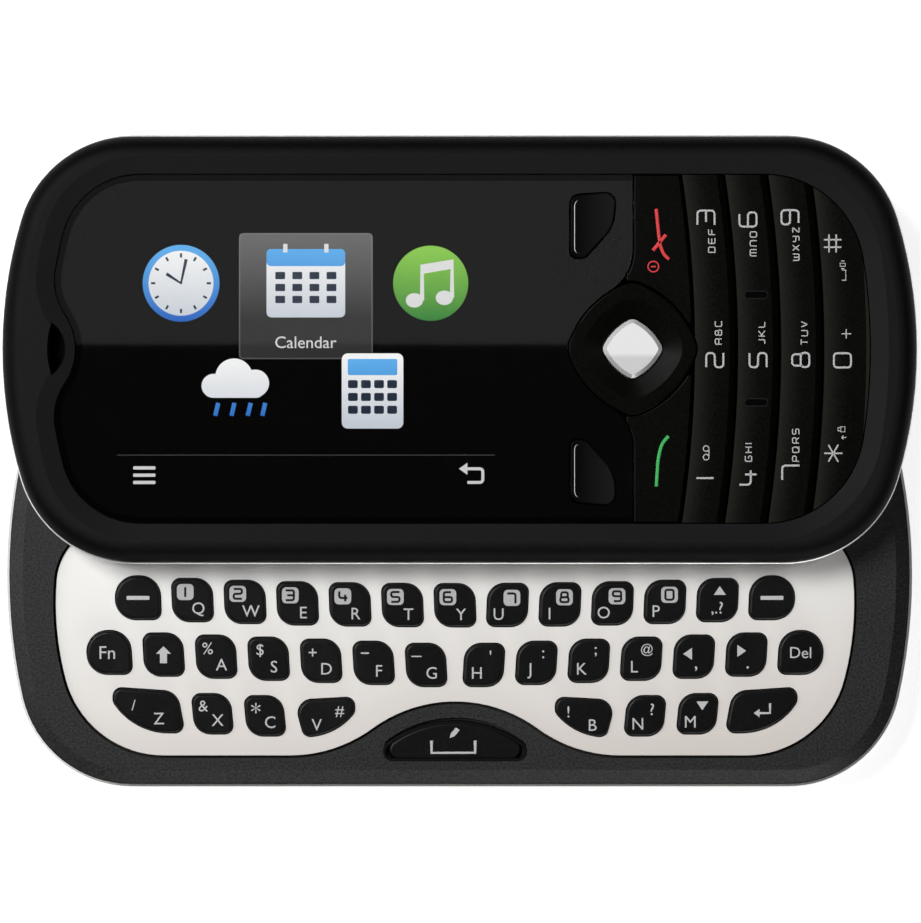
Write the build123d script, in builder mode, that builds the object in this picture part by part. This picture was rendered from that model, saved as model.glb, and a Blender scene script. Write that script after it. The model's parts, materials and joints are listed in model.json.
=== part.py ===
from build123d import *

import os
from math import sqrt

# Mobile phone whose top half slides sideways off a full keyboard, modelled open.
# Millimetres. +X runs along the phone to the number keys, +Y is the way the top half slides
# open and +Z points out of the display. The origin is the middle of the flat back face.

# Plan of both halves: straight long sides, round corners and bowed ends
BODY_LENGTH = 107.6
BODY_WIDTH = 50.4
TOP_CORNER_R = 13.8
TOP_BOW_R = 53.0
BASE_CORNER_R = 13.6
BASE_BOW_R = 67.0

# Clearances
FIT_GAP = 0.15
KEY_GAP = 0.15
STACK_GAP = 0.05
HALVES_GAP = 0.3
RAIL_GAP = 0.1
BOARD_GAP = 0.3

# Rear housing
HOUSING_INSET = 0.1
HOUSING_HEIGHT = 5.0
HOUSING_WALL = 1.2
HOUSING_FLOOR = 1.8
HOUSING_EDGE_R = 2.0
POST_R = 1.6
POST_HOLE_R = 0.5
END_POST_X = 44.0
END_POST_Y = 12.0
SIDE_POST_X = 20.0
SIDE_POST_Y = 20.9
PORT_WIDTH = 7.8
PORT_HEIGHT = 2.2
PORT_CORNER_R = 0.7
PORT_SHELL_DEPTH = 5.0
PORT_SHELL_WALL = 0.4
PORT_LIFT = 0.3
CAMERA_R = 3.0
CAMERA_X = -42.0
CAMERA_DEPTH = 0.8
SPEAKER_SLOT_LENGTH = 7.0
SPEAKER_SLOT_WIDTH = 0.8
SPEAKER_SLOT_PITCH = 2.0
SPEAKER_SLOTS = 4
SPEAKER_X = -31.0
SPEAKER_LENGTH = 15.0
SPEAKER_WIDTH = 10.0
UNDER_BOARD_HEIGHT = 2.6
SHIELD_LENGTH = 14.0
SHIELD_WIDTH = 7.0
SHIELD_Y = 13.5
END_SHIELD_X = 43.0

# Battery and its sliding cover
BATTERY_LENGTH = 48.0
BATTERY_WIDTH = 34.0
BATTERY_HEIGHT = 3.7
BATTERY_X = 10.0
BATTERY_EDGE_R = 1.5
BAY_WALL = 0.8
BATTERY_GAP = 0.15
COVER_THICK = 0.9
COVER_HALF_WIDTH = 19.6
COVER_START_X = -21.0
COVER_TONGUE = 0.8
COVER_TONGUE_THICK = 0.4
COVER_GAP = 0.1

# Main circuit board
BOARD_THICK = 0.8

# Keyboard keys
KEY_TRAVEL = 0.25
KEY_FLANGE_THICK = 0.45
KEY_FLANGE_WIDTH = 0.35
KEY_PROUD = 0.45
KEY_EDGE_R = 0.3
LETTER_KEY_WIDTH = 4.87
LETTER_KEY_HEIGHT = 4.98
END_KEY_WIDTH = 5.4
END_KEY_HEIGHT = 5.05
LOWER_KEY_HEIGHT = 4.64
CORNER_KEY_WIDTH = 8.34
CORNER_KEY_HEIGHT = 5.26
CORNER_KEY_TOP_FALL = 0.5
CORNER_KEY_FLAT_END = 1.6
CORNER_KEY_FOOT = 1.8
HUMP_KEY_WIDTH = 7.0
HUMP_KEY_TOP_FALL = 0.37
HUMP_KEY_FLAT_END = 1.7
HUMP_KEY_LEAN = 1.16
HUMP_KEY_FOOT = 1.0
HUMP_KEY_FOOT_RISE = 0.13
HUMP_KEY_CORNER_R = 1.6
SOFT_BEND_R = 1.1
TIGHT_KEY_R = 0.95
WIDE_KEY_R = 2.0
END_KEY_R = 2.4
UPPER_ROW_LEAN = 0.2
HOME_ROW_LEAN = 0.3
LOWER_ROW_LEAN = 0.45

# Keyboard layout: each row rises from the middle, as row height + slope |x| + curve x squared
KEYBOARD_X = -0.53
KEY_PITCH = 6.2
END_KEY_STEP = 6.44
HOME_ROW_FIRST_X = 3.41
LOWER_ROW_FIRST_X = 15.42
LOWER_ROW_SPACE = 1.09
LOWER_ROW_END_SPACE = 0.9
UPPER_ROW_Y = -3.54
UPPER_ROW_CURVE = 0.00063
HOME_ROW_Y = -10.73
HOME_ROW_SLOPE = 0.0395
LOWER_ROW_Y = -14.77
LOWER_ROW_SLOPE = -0.176
LOWER_ROW_CURVE = 0.0042
WIDE_KEY_DROP = 0.28

# Keyboard panel
PANEL_THICK = 1.0
PANEL_RECESS = 0.5
PANEL_GAP = 0.3
PANEL_LEDGE = 1.2
PANEL_HALF_LENGTH = 47.15
PANEL_BOW_R = 35.0
PANEL_BOW_Y = -3.3
PANEL_TOP_Y = 5.95
PANEL_TOP_CORNER_R = 7.0
PANEL_BOTTOM_Y = -21.27
PANEL_BOTTOM_CORNER_R = 12.0
HUMP_HALF_LENGTH = 19.5
HUMP_RISE = 6.37

# Space key, a round segment with a flat base, in a well of the frame
SPACE_KEY_R = 12.8
SPACE_KEY_HEIGHT = 4.36
SPACE_KEY_CORNER_R = 1.15
SPACE_KEY_BASE_Y = -21.74
SPACE_WELL_MARGIN = 0.6
SPACE_WELL_LIP = 0.2
SPACE_WELL_DEPTH = 0.7

# Base frame
FRAME_INSET = 0.65
FRAME_WALL = 1.2
FRAME_SKIN_UNDER_PANEL = 0.6
FRAME_BEVEL_WIDTH = 1.6
FRAME_BEVEL_DROP = 0.9

# Slide: a shoe plate on the base runs in a folded rail plate in the top half
SLIDE_TRAVEL = 26.6
SHOE_PLATE_THICK = 0.5
SHOE_PLATE_HALF_WIDTH = 21.0
SHOE_PLATE_START_Y = 7.2
SHOE_PLATE_LENGTH = 15.0
SHOE_START_Y = 8.2
SHOE_LENGTH = 12.0
SHOE_RISER_X = 16.0
SHOE_RISER_THICK = 0.6
SHOE_LEDGE_THICK = 0.55
RAIL_SHEET_THICK = 0.4
RAIL_WEB_THICK = 0.6
RAIL_LIP_THICK = 0.35
RAIL_FLANGE_WIDTH = 3.0
RAIL_SIDE_GAP = 0.2
RAIL_LIP_REACH = 1.4
RAIL_START_Y = -20.5
RAIL_LENGTH = 42.5
RAIL_END_MARGIN = 0.7
PIN_R = 0.8
SPRING_WIRE_R = 0.3
SPRING_PIN_X = 9.0
SPRING_MOVING_PIN_Y = 1.7
SPRING_BEND_R = 1.4
SPRING_BEND_X = 6.5
SPRING_BEND_RISE = 3.0

# Top half: silver back shell and matt bezel
BACK_FLOOR = 1.2
BACK_HEIGHT = 2.5
BACK_WALL = 1.2
BACK_EDGE_R = 1.0
RIM_WIDTH = 0.3
BEZEL_HEIGHT = 4.5
BEZEL_WALL = 1.2
BEZEL_SIDE_BAND = 4.75
BEZEL_END_BAND = 5.75
BEZEL_CREST_R = 2.3
BEZEL_CREST_FLAT = 0.12
BEZEL_SLOPE_DROP = 0.7
BEZEL_LEDGE_WIDTH = 0.8
BEZEL_LEDGE_THICK = 0.5
WINDOW_LEFT_R = 9.3
WINDOW_LEFT_BOW_R = 54.5
WINDOW_RIGHT_R = 11.7
WINDOW_RIGHT_BOW_R = 67.0
NOTCH_R = 7.2
NOTCH_FILLET_R = 7.0
NOTCH_DEPTH = 3.13
EARPIECE_X = -47.6
EARPIECE_HALF_LENGTH = 3.1
EARPIECE_OUTER_BULGE = 0.5
EARPIECE_INNER_BULGE = 1.6

# Display, its window and the board under them
WINDOW_THICK = 1.0
WINDOW_SHOULDER_R = 5.5
DISPLAY_X = -18.0
DISPLAY_LENGTH = 51.0
DISPLAY_WIDTH = 38.6
DISPLAY_THICK = 1.9
DISPLAY_GAP = 0.2
SLIDER_BOARD_THICK = 0.6
SLIDER_BOARD_LIFT = 0.8
SLIDER_BOARD_INSET = 2.6
SLIDER_POST_R = 1.5
SLIDER_END_POST_X = 46.0
SLIDER_END_POST_Y = 10.0
SLIDER_SIDE_POST_X = 30.0
SLIDER_SIDE_POST_Y = 20.0

# Navigation ring, middle button, soft keys and number bars
KEYPAD_LENGTH = 27.85
CALL_STRIP_WIDTH = 7.15
BAR_COUNT = 4
BAR_PITCH = 5.04
BAR_BOW_R = 137.0
BAR_SPACE = 0.35
BAR_FALL_WIDTH = 0.7
BAR_FALL_DROP = 0.5
BAR_NUB_Y = 13.5
NUB_R = 0.9
NUB_LENGTH = 0.7
SLIDER_FLANGE_WIDTH = 0.5
SLIDER_FLANGE_THICK = 0.5
SLIDER_KEY_EDGE_R = 0.2
NAV_HALF_LENGTH = 7.6
NAV_HALF_WIDTH = 7.85
NAV_BULGE = 1.4
NAV_CORNER_R = 2.5
NAV_PROUD = 0.2
NAV_DISH_WIDTH = 2.2
NAV_DISH_DEPTH = 0.6
NAV_FLANGE_WIDTH = 0.6
NAV_FLANGE_THICK = 0.35
NAV_POCKET_HEIGHT = 1.0
OK_HALF = 3.55
OK_BULGE = 0.48
OK_CORNER_R = 1.0
OK_PROUD = 0.4
OK_BEVEL = 0.45
KEY_TAIL_START = 0.5
KEY_TIP_R = 0.3
SOFT_KEY_X = 4.65
SOFT_KEY_Y = 14.45
SOFT_KEY_CORNERS = [(-2.6, 3.45), (2.75, 3.85), (2.35, -0.2), (-0.9, -3.85), (-2.6, -3.85)]
SOFT_KEY_RADII = [1.1, 1.2, 4.0, 1.0, 0.8]

# Heights of the base, from its back face up
MAIN_BOARD_Z = HOUSING_HEIGHT
PORT_Z = MAIN_BOARD_Z - PORT_LIFT - PORT_HEIGHT / 2
KEY_FOOT_Z = MAIN_BOARD_Z + BOARD_THICK + KEY_TRAVEL + STACK_GAP
PANEL_Z = KEY_FOOT_Z + KEY_FLANGE_THICK + STACK_GAP
FRAME_SKIN_Z = PANEL_Z - FRAME_SKIN_UNDER_PANEL
FRAME_TOP_Z = PANEL_Z + PANEL_THICK + PANEL_RECESS
KEY_TOP_Z = PANEL_Z + PANEL_THICK + KEY_PROUD
BATTERY_Z = COVER_THICK + COVER_GAP + BATTERY_GAP

# Heights of the slide
SHOE_PLATE_Z = FRAME_TOP_Z - SHOE_PLATE_THICK
SLIDER_Z = FRAME_TOP_Z + HALVES_GAP
RAIL_SHEET_Z = SLIDER_Z + BACK_FLOOR
SHOE_LEDGE_TOP_Z = RAIL_SHEET_Z - RAIL_GAP
SHOE_LEDGE_Z = SHOE_LEDGE_TOP_Z - SHOE_LEDGE_THICK
RAIL_LIP_TOP_Z = SHOE_LEDGE_Z - RAIL_GAP
RAIL_LIP_Z = RAIL_LIP_TOP_Z - RAIL_LIP_THICK
SPRING_Z = (FRAME_TOP_Z + RAIL_SHEET_Z) / 2
PIN_TOP_Z = RAIL_SHEET_Z - RAIL_GAP
PIN_BOTTOM_Z = SLIDER_Z + RAIL_GAP

# Heights of the top half
BEZEL_Z = SLIDER_Z + BACK_HEIGHT
BEZEL_TOP_Z = BEZEL_Z + BEZEL_HEIGHT
WINDOW_TOP_Z = BEZEL_TOP_Z - BEZEL_SLOPE_DROP
WINDOW_Z = WINDOW_TOP_Z - WINDOW_THICK
BEZEL_SKIN_Z = WINDOW_Z - BEZEL_LEDGE_THICK
SLIDER_BOARD_Z = SLIDER_Z + BACK_FLOOR + SLIDER_BOARD_LIFT
DISPLAY_Z = SLIDER_BOARD_Z + SLIDER_BOARD_THICK + DISPLAY_GAP
SLIDER_KEY_FOOT_Z = SLIDER_BOARD_Z + SLIDER_BOARD_THICK + KEY_TRAVEL + STACK_GAP
SLIDER_KEY_Z = SLIDER_KEY_FOOT_Z + NUB_LENGTH
SLIDER_FLANGE_Z = BEZEL_SKIN_Z - STACK_GAP - SLIDER_FLANGE_THICK

# Places that follow from the plan
WINDOW_HALF_LENGTH = BODY_LENGTH / 2 - BEZEL_END_BAND
WINDOW_HALF_WIDTH = BODY_WIDTH / 2 - BEZEL_SIDE_BAND
KEYPAD_X = WINDOW_HALF_LENGTH - KEYPAD_LENGTH
SHOE_LEDGE_WIDTH = SHOE_RISER_THICK + RAIL_SIDE_GAP + RAIL_LIP_REACH
RAIL_WEB_X = SHOE_RISER_X + SHOE_LEDGE_WIDTH + RAIL_SIDE_GAP
FIXED_PIN_Y = SPRING_MOVING_PIN_Y + SLIDE_TRAVEL / 2
SPRING_EYE_R = PIN_R + SPRING_WIRE_R + STACK_GAP

os.makedirs("parts", exist_ok=True)


def slider_plane(height):
    """Plane of the top half at a height, where it stands when the phone is open."""
    return Plane((0, SLIDE_TRAVEL, height))


def corner_on_bow(bow_x, bow_y, bow_r, corner_y, corner_r):
    """Middle of a corner arc that runs into a bowed end, and the point where the arcs meet."""
    corner_x = bow_x + sqrt((bow_r - corner_r) ** 2 - (corner_y - bow_y) ** 2)
    reach = bow_r / (bow_r - corner_r)
    meeting = (bow_x + (corner_x - bow_x) * reach, bow_y + (corner_y - bow_y) * reach)
    return corner_x, meeting


def bowed_end(half_length, half_width, corner_r, bow_r, way):
    """Draw one bowed end in the open line; way is 1 for the +X end and -1 for the -X end."""
    corner_y = half_width - corner_r
    corner_x, (meet_x, meet_y) = corner_on_bow(half_length - bow_r, 0, bow_r, corner_y, corner_r)
    RadiusArc((way * corner_x, half_width), (way * meet_x, meet_y), way * corner_r)
    RadiusArc((way * meet_x, meet_y), (way * meet_x, -meet_y), way * bow_r)
    RadiusArc((way * meet_x, -meet_y), (way * corner_x, -half_width), way * corner_r)
    return corner_x


def half_outline(corner_r, bow_r, inset):
    """Plan of one half of the phone, drawn inset from its widest line."""
    half_length = BODY_LENGTH / 2 - inset
    half_width = BODY_WIDTH / 2 - inset
    with BuildSketch() as plan:
        with BuildLine():
            side_x = bowed_end(half_length, half_width, corner_r - inset, bow_r - inset, 1)
            bowed_end(half_length, half_width, corner_r - inset, bow_r - inset, -1)
            Line((-side_x, half_width), (side_x, half_width))
            Line((-side_x, -half_width), (side_x, -half_width))
        make_face()
    return plan.sketch


def base_outline(inset):
    """Plan of the base half."""
    return half_outline(BASE_CORNER_R, BASE_BOW_R, inset)


def top_outline(inset):
    """Plan of the top half, whose ends bow more."""
    return half_outline(TOP_CORNER_R, TOP_BOW_R, inset)


def window_outline(grow):
    """Opening of the bezel, grown all round; its left end has the bump that holds the earpiece."""
    half_length = WINDOW_HALF_LENGTH + grow
    half_width = WINDOW_HALF_WIDTH + grow
    with BuildSketch() as plan:
        with BuildLine():
            right_x = bowed_end(
                half_length, half_width, WINDOW_RIGHT_R + grow, WINDOW_RIGHT_BOW_R + grow, 1
            )
            left_x = bowed_end(
                half_length, half_width, WINDOW_LEFT_R + grow, WINDOW_LEFT_BOW_R + grow, -1
            )
            Line((-left_x, half_width), (right_x, half_width))
            Line((-left_x, -half_width), (right_x, -half_width))
        make_face()
        with Locations((-WINDOW_HALF_LENGTH + NOTCH_DEPTH - NOTCH_R, 0)):
            Circle(NOTCH_R - grow, mode=Mode.SUBTRACT)
        notch_ends = plan.vertices().filter_by_position(Axis.Y, -NOTCH_R, NOTCH_R)
        fillet(notch_ends.sort_by(Axis.X)[:2], NOTCH_FILLET_R + grow)
    return plan.sketch


def rounded_diamond(half_length, half_width, bulge, corner_r, grow=0.0):
    """Diamond with bulged sides and rounded points, for the ring and its middle button."""
    side = sqrt(half_length**2 + half_width**2)
    middle = (
        half_length / 2 + bulge * half_width / side,
        half_width / 2 + bulge * half_length / side,
    )
    with BuildSketch() as plan:
        with BuildLine():
            ThreePointArc((half_length, 0), middle, (0, half_width))
            mirror(about=Plane.YZ)
            mirror(about=Plane.XZ)
        make_face()
        fillet(plan.vertices(), corner_r)
        if grow:
            offset(amount=grow)
    return plan.sketch


def nav_outline(grow=0.0):
    """Plan of the navigation ring."""
    return rounded_diamond(NAV_HALF_LENGTH, NAV_HALF_WIDTH, NAV_BULGE, NAV_CORNER_R, grow)


def ok_outline(grow=0.0):
    """Plan of the middle button."""
    return rounded_diamond(OK_HALF, OK_HALF, OK_BULGE, OK_CORNER_R, grow)


def panel_outline():
    """Plan of the keyboard panel about its own middle: bowed ends and a hump for the space key."""
    bow_x = PANEL_HALF_LENGTH - PANEL_BOW_R
    top_x, top_meeting = corner_on_bow(
        bow_x, PANEL_BOW_Y, PANEL_BOW_R, PANEL_TOP_Y - PANEL_TOP_CORNER_R, PANEL_TOP_CORNER_R
    )
    bottom_x, bottom_meeting = corner_on_bow(
        bow_x, PANEL_BOW_Y, PANEL_BOW_R, PANEL_BOTTOM_Y + PANEL_BOTTOM_CORNER_R, PANEL_BOTTOM_CORNER_R
    )
    hump_r = (HUMP_HALF_LENGTH**2 + HUMP_RISE**2) / (4 * HUMP_RISE)
    flank = (HUMP_HALF_LENGTH / 2, PANEL_BOTTOM_Y + HUMP_RISE / 2)
    with BuildSketch() as plan:
        with BuildLine():
            Line((0, PANEL_TOP_Y), (top_x, PANEL_TOP_Y))
            RadiusArc((top_x, PANEL_TOP_Y), top_meeting, PANEL_TOP_CORNER_R)
            RadiusArc(top_meeting, bottom_meeting, PANEL_BOW_R)
            RadiusArc(bottom_meeting, (bottom_x, PANEL_BOTTOM_Y), PANEL_BOTTOM_CORNER_R)
            Line((bottom_x, PANEL_BOTTOM_Y), (HUMP_HALF_LENGTH, PANEL_BOTTOM_Y))
            RadiusArc((HUMP_HALF_LENGTH, PANEL_BOTTOM_Y), flank, hump_r)
            RadiusArc(flank, (0, PANEL_BOTTOM_Y + HUMP_RISE), -hump_r)
            mirror(about=Plane.YZ)
        make_face()
    return plan.sketch


def key_outline(corners, radii, side):
    """Plan of one keyboard key from its corners for the left half; side 1 mirrors it."""
    with BuildSketch() as plan:
        with BuildLine():
            FilletPolyline([(-side * x, y) for x, y in corners], radius=radii, close=True)
        make_face()
    return plan.sketch


def leaning_key(width, height, lean, radii, side):
    """Four-cornered key whose sides lean by lean."""
    corners = [
        (-width / 2, height / 2),
        (width / 2 - lean, height / 2),
        (width / 2, -height / 2),
        (-width / 2 + lean, -height / 2),
    ]
    return key_outline(corners, radii, side)


def letter_key(height, lean, side):
    """Letter key with two tight and two wide corners."""
    radii = [TIGHT_KEY_R, WIDE_KEY_R, TIGHT_KEY_R, WIDE_KEY_R]
    return leaning_key(LETTER_KEY_WIDTH, height, lean, radii, side)


def end_key(lean, side):
    """Rounder key at the end of a row."""
    radii = [END_KEY_R, END_KEY_R, TIGHT_KEY_R, END_KEY_R]
    return leaning_key(END_KEY_WIDTH, END_KEY_HEIGHT, lean, radii, side)


def curved_key(corners, radii, side):
    """Plan of a key whose last corner runs back to the first in one curve."""
    places = [(-side * x, y) for x, y in corners]
    run = Vector(places[-1]) - Vector(places[-2])
    with BuildSketch() as plan:
        with BuildLine():
            FilletPolyline(places, radius=radii)
            TangentArc(places[-1], places[0], tangent=run)
        make_face()
        fillet(plan.vertices().sort_by_distance(places[0])[:1], SOFT_BEND_R)
    return plan.sketch


def corner_key(side):
    """Wide key at the end of the lower row, curved along the panel's corner."""
    half_width = CORNER_KEY_WIDTH / 2
    half_height = CORNER_KEY_HEIGHT / 2
    corners = [
        (-half_width, half_height - CORNER_KEY_FLAT_END),
        (-half_width, half_height),
        (half_width - 2 * LOWER_ROW_LEAN, half_height - CORNER_KEY_TOP_FALL),
        (half_width, -half_height),
        (half_width - CORNER_KEY_FOOT, -half_height),
    ]
    return curved_key(corners, [TIGHT_KEY_R, WIDE_KEY_R, TIGHT_KEY_R], side)


def hump_key(side):
    """Wide key beside the hump, curved along its flank."""
    half_width = HUMP_KEY_WIDTH / 2
    half_height = LOWER_KEY_HEIGHT / 2
    foot_x = HUMP_KEY_LEAN - half_width
    corners = [
        (half_width, half_height - HUMP_KEY_FLAT_END),
        (half_width, half_height),
        (-half_width, half_height - HUMP_KEY_TOP_FALL),
        (foot_x, -half_height),
        (foot_x + HUMP_KEY_FOOT, HUMP_KEY_FOOT_RISE - half_height),
    ]
    return curved_key(corners, [TIGHT_KEY_R, HUMP_KEY_CORNER_R, TIGHT_KEY_R], side)


def keyboard_keys():
    """Every key of the panel as its name, its plan and the middle of its place."""
    keys = []

    def upper_row(name, x, plan):
        keys.append((name, plan, (KEYBOARD_X + x, UPPER_ROW_Y + UPPER_ROW_CURVE * x**2)))

    def home_row(name, x, plan):
        keys.append((name, plan, (KEYBOARD_X + x, HOME_ROW_Y + HOME_ROW_SLOPE * abs(x))))

    def lower_row(name, x, plan, drop=0.0):
        y = LOWER_ROW_Y + LOWER_ROW_SLOPE * abs(x) + LOWER_ROW_CURVE * x**2 - drop
        keys.append((name, plan, (KEYBOARD_X + x, y)))

    upper_names = ["q", "w", "e", "r", "t", "y", "u", "i", "o", "p", "up_punctuation"]
    middle = len(upper_names) // 2
    for index, name in enumerate(upper_names):
        side = 1 if index > middle else -1
        plan = letter_key(LETTER_KEY_HEIGHT, UPPER_ROW_LEAN, side)
        upper_row("key_" + name, (index - middle) * KEY_PITCH, plan)
    for name, side in (("dash_left", -1), ("dash_right", 1)):
        plan = end_key(UPPER_ROW_LEAN, side)
        upper_row("key_" + name, side * (middle * KEY_PITCH + END_KEY_STEP), plan)

    home_names = [
        ["g", "f", "d", "s", "a", "shift"],
        ["h", "j", "k", "l", "left_comma", "right_period"],
    ]
    for side, names in zip((-1, 1), home_names):
        for index, name in enumerate(names):
            plan = letter_key(LETTER_KEY_HEIGHT, HOME_ROW_LEAN, side)
            home_row("key_" + name, side * (HOME_ROW_FIRST_X + index * KEY_PITCH), plan)
    home_end_x = HOME_ROW_FIRST_X + (len(home_names[0]) - 1) * KEY_PITCH + END_KEY_STEP
    for name, side in (("fn", -1), ("delete", 1)):
        home_row("key_" + name, side * home_end_x, end_key(HOME_ROW_LEAN, side))

    lower_second_x = LOWER_ROW_FIRST_X + (HUMP_KEY_WIDTH + LETTER_KEY_WIDTH) / 2 + LOWER_ROW_SPACE
    lower_third_x = lower_second_x + KEY_PITCH
    lower_end_x = lower_third_x + (LETTER_KEY_WIDTH + CORNER_KEY_WIDTH) / 2 + LOWER_ROW_END_SPACE
    for side, names in zip((-1, 1), (["v", "c", "x", "z"], ["b", "n", "m", "enter"])):
        letter = letter_key(LOWER_KEY_HEIGHT, LOWER_ROW_LEAN, side)
        lower_row("key_" + names[0], side * LOWER_ROW_FIRST_X, hump_key(side), WIDE_KEY_DROP)
        lower_row("key_" + names[1], side * lower_second_x, letter)
        lower_row("key_" + names[2], side * lower_third_x, letter)
        lower_row("key_" + names[3], side * lower_end_x, corner_key(side), WIDE_KEY_DROP)
    return keys


def space_outline(margin, lip):
    """Plan of the space key, a round segment, grown by a margin round it and a lip below it."""
    radius = SPACE_KEY_R + margin
    height = SPACE_KEY_HEIGHT + margin + lip
    base_y = SPACE_KEY_BASE_Y - lip
    half_base = sqrt(radius**2 - (radius - height) ** 2)
    with BuildSketch() as plan:
        with BuildLine():
            Line((KEYBOARD_X - half_base, base_y), (KEYBOARD_X + half_base, base_y))
            RadiusArc(
                (KEYBOARD_X - half_base, base_y), (KEYBOARD_X + half_base, base_y), radius
            )
        make_face()
        fillet(plan.vertices(), SPACE_KEY_CORNER_R + margin / 2)
    return plan.sketch


def bar_band(index):
    """Area of one upright strip of the number pad; 0 is the call strip, 4 the last bar."""
    first_groove = KEYPAD_X + CALL_STRIP_WIDTH
    left = first_groove + (index - 1) * BAR_PITCH + BAR_SPACE / 2
    right = first_groove + index * BAR_PITCH - BAR_SPACE / 2
    if index == 0:
        left = KEYPAD_X - KEY_TAIL_START
    if index == BAR_COUNT:
        right = WINDOW_HALF_LENGTH + BAR_PITCH
    reach = BODY_WIDTH / 2
    sag = BAR_BOW_R - sqrt(BAR_BOW_R**2 - reach**2)
    with BuildSketch() as plan:
        with BuildLine():
            Line((left - sag, reach), (right - sag, reach))
            RadiusArc((right - sag, reach), (right - sag, -reach), BAR_BOW_R)
            Line((right - sag, -reach), (left - sag, -reach))
            RadiusArc((left - sag, -reach), (left - sag, reach), -BAR_BOW_R)
        make_face()
    return plan.sketch


def shoulder_arc():
    """Middle of the upper arc that rounds the window off into the ring's bay, and its far end."""
    chord = sqrt(NAV_HALF_LENGTH**2 + NAV_HALF_WIDTH**2)
    side_r = (chord**2 / 4 + NAV_BULGE**2) / (2 * NAV_BULGE)
    inward = (side_r - NAV_BULGE) / chord
    ring_x = KEYPAD_X - NAV_HALF_LENGTH / 2 + NAV_HALF_WIDTH * inward
    ring_y = NAV_HALF_WIDTH / 2 - NAV_HALF_LENGTH * inward
    bay_r = side_r + KEY_GAP
    reach = bay_r + WINDOW_SHOULDER_R
    step_x = KEYPAD_X - WINDOW_SHOULDER_R - ring_x
    step_y = sqrt(reach**2 - step_x**2)
    far_end = (ring_x + step_x * bay_r / reach, ring_y + step_y * bay_r / reach)
    return (ring_x + step_x, ring_y + step_y), far_end


def window_plan():
    """Plan of the display window: it stops at the keypad, with a bay round the ring."""
    (_, shoulder_y), (far_x, far_y) = shoulder_arc()
    with BuildSketch() as plan:
        add(window_outline(-FIT_GAP))
        with Locations((KEYPAD_X, 0)):
            Rectangle(
                BODY_LENGTH, BODY_WIDTH, align=(Align.MIN, Align.CENTER), mode=Mode.SUBTRACT
            )
            add(nav_outline(KEY_GAP), mode=Mode.SUBTRACT)
        with BuildLine():
            RadiusArc((KEYPAD_X, shoulder_y), (far_x, far_y), WINDOW_SHOULDER_R)
            Line((far_x, far_y), (far_x, -far_y))
            RadiusArc((far_x, -far_y), (KEYPAD_X, -shoulder_y), WINDOW_SHOULDER_R)
            Line((KEYPAD_X, -shoulder_y), (KEYPAD_X, shoulder_y))
        make_face(mode=Mode.SUBTRACT)
    return plan.sketch


def upright_key_plan(index):
    """Plan of the call strip, index 0, or of a number bar, inside the bezel and round the ring."""
    (shoulder_x, shoulder_y), _ = shoulder_arc()
    with BuildSketch() as plan:
        add(bar_band(index))
        add(window_outline(-KEY_GAP), mode=Mode.INTERSECT)
        with Locations((KEYPAD_X, 0)):
            add(nav_outline(KEY_GAP), mode=Mode.SUBTRACT)
        if index == 0:
            with Locations((shoulder_x, shoulder_y), (shoulder_x, -shoulder_y)):
                Circle(WINDOW_SHOULDER_R + KEY_GAP, mode=Mode.SUBTRACT)
            for side_align, side in ((Align.MIN, 1), (Align.MAX, -1)):
                with Locations((KEYPAD_X + KEY_GAP, side * shoulder_y)):
                    Rectangle(
                        BODY_LENGTH, BODY_WIDTH, align=(Align.MAX, side_align), mode=Mode.SUBTRACT
                    )
    return plan.sketch


def upright_flange_plan(index):
    """Plan of the same key's flange, which reaches under the bezel at both ends."""
    with BuildSketch() as plan:
        add(bar_band(index))
        add(window_outline(SLIDER_FLANGE_WIDTH), mode=Mode.INTERSECT)
        with Locations((KEYPAD_X, 0)):
            add(nav_outline(KEY_GAP), mode=Mode.SUBTRACT)
    return plan.sketch


def half_of(sketch, side):
    """The part of a plan above, side 1, or below, side -1, the slider's middle line."""
    half_align = (Align.CENTER, Align.MIN if side > 0 else Align.MAX)
    with BuildSketch() as plan:
        add(sketch)
        Rectangle(BODY_LENGTH, BODY_WIDTH, align=half_align, mode=Mode.INTERSECT)
    return plan.sketch


def soft_key_outline(side, grow=0.0):
    """Plan of a soft key; side 1 is the upper one and -1 its mirror image."""
    with BuildSketch() as plan:
        with BuildLine():
            FilletPolyline(
                [(x, side * y) for x, y in SOFT_KEY_CORNERS], radius=SOFT_KEY_RADII, close=True
            )
        make_face()
        if grow:
            offset(amount=grow)
    return plan.sketch


def housing_shell():
    """Outer form of the rear housing and its cover, with the rounded lower edge."""
    with BuildPart() as shell:
        with BuildSketch():
            add(base_outline(HOUSING_INSET))
        extrude(amount=HOUSING_HEIGHT)
        fillet(shell.faces().sort_by(Axis.Z)[0].edges(), HOUSING_EDGE_R)
    return shell.part


def cover_area(half_width):
    """Plan of the sliding cover's track, open at the +X end."""
    with BuildSketch() as plan:
        with Locations((COVER_START_X, 0)):
            Rectangle(BODY_LENGTH, 2 * half_width, align=(Align.MIN, Align.CENTER))
    return plan.sketch


def post_places():
    """Places of the rear housing's board posts."""
    end_posts = [(x, y) for x in (-END_POST_X, END_POST_X) for y in (-END_POST_Y, END_POST_Y)]
    side_posts = [(x, y) for x in (-SIDE_POST_X, SIDE_POST_X) for y in (-SIDE_POST_Y, SIDE_POST_Y)]
    return end_posts + side_posts


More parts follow.
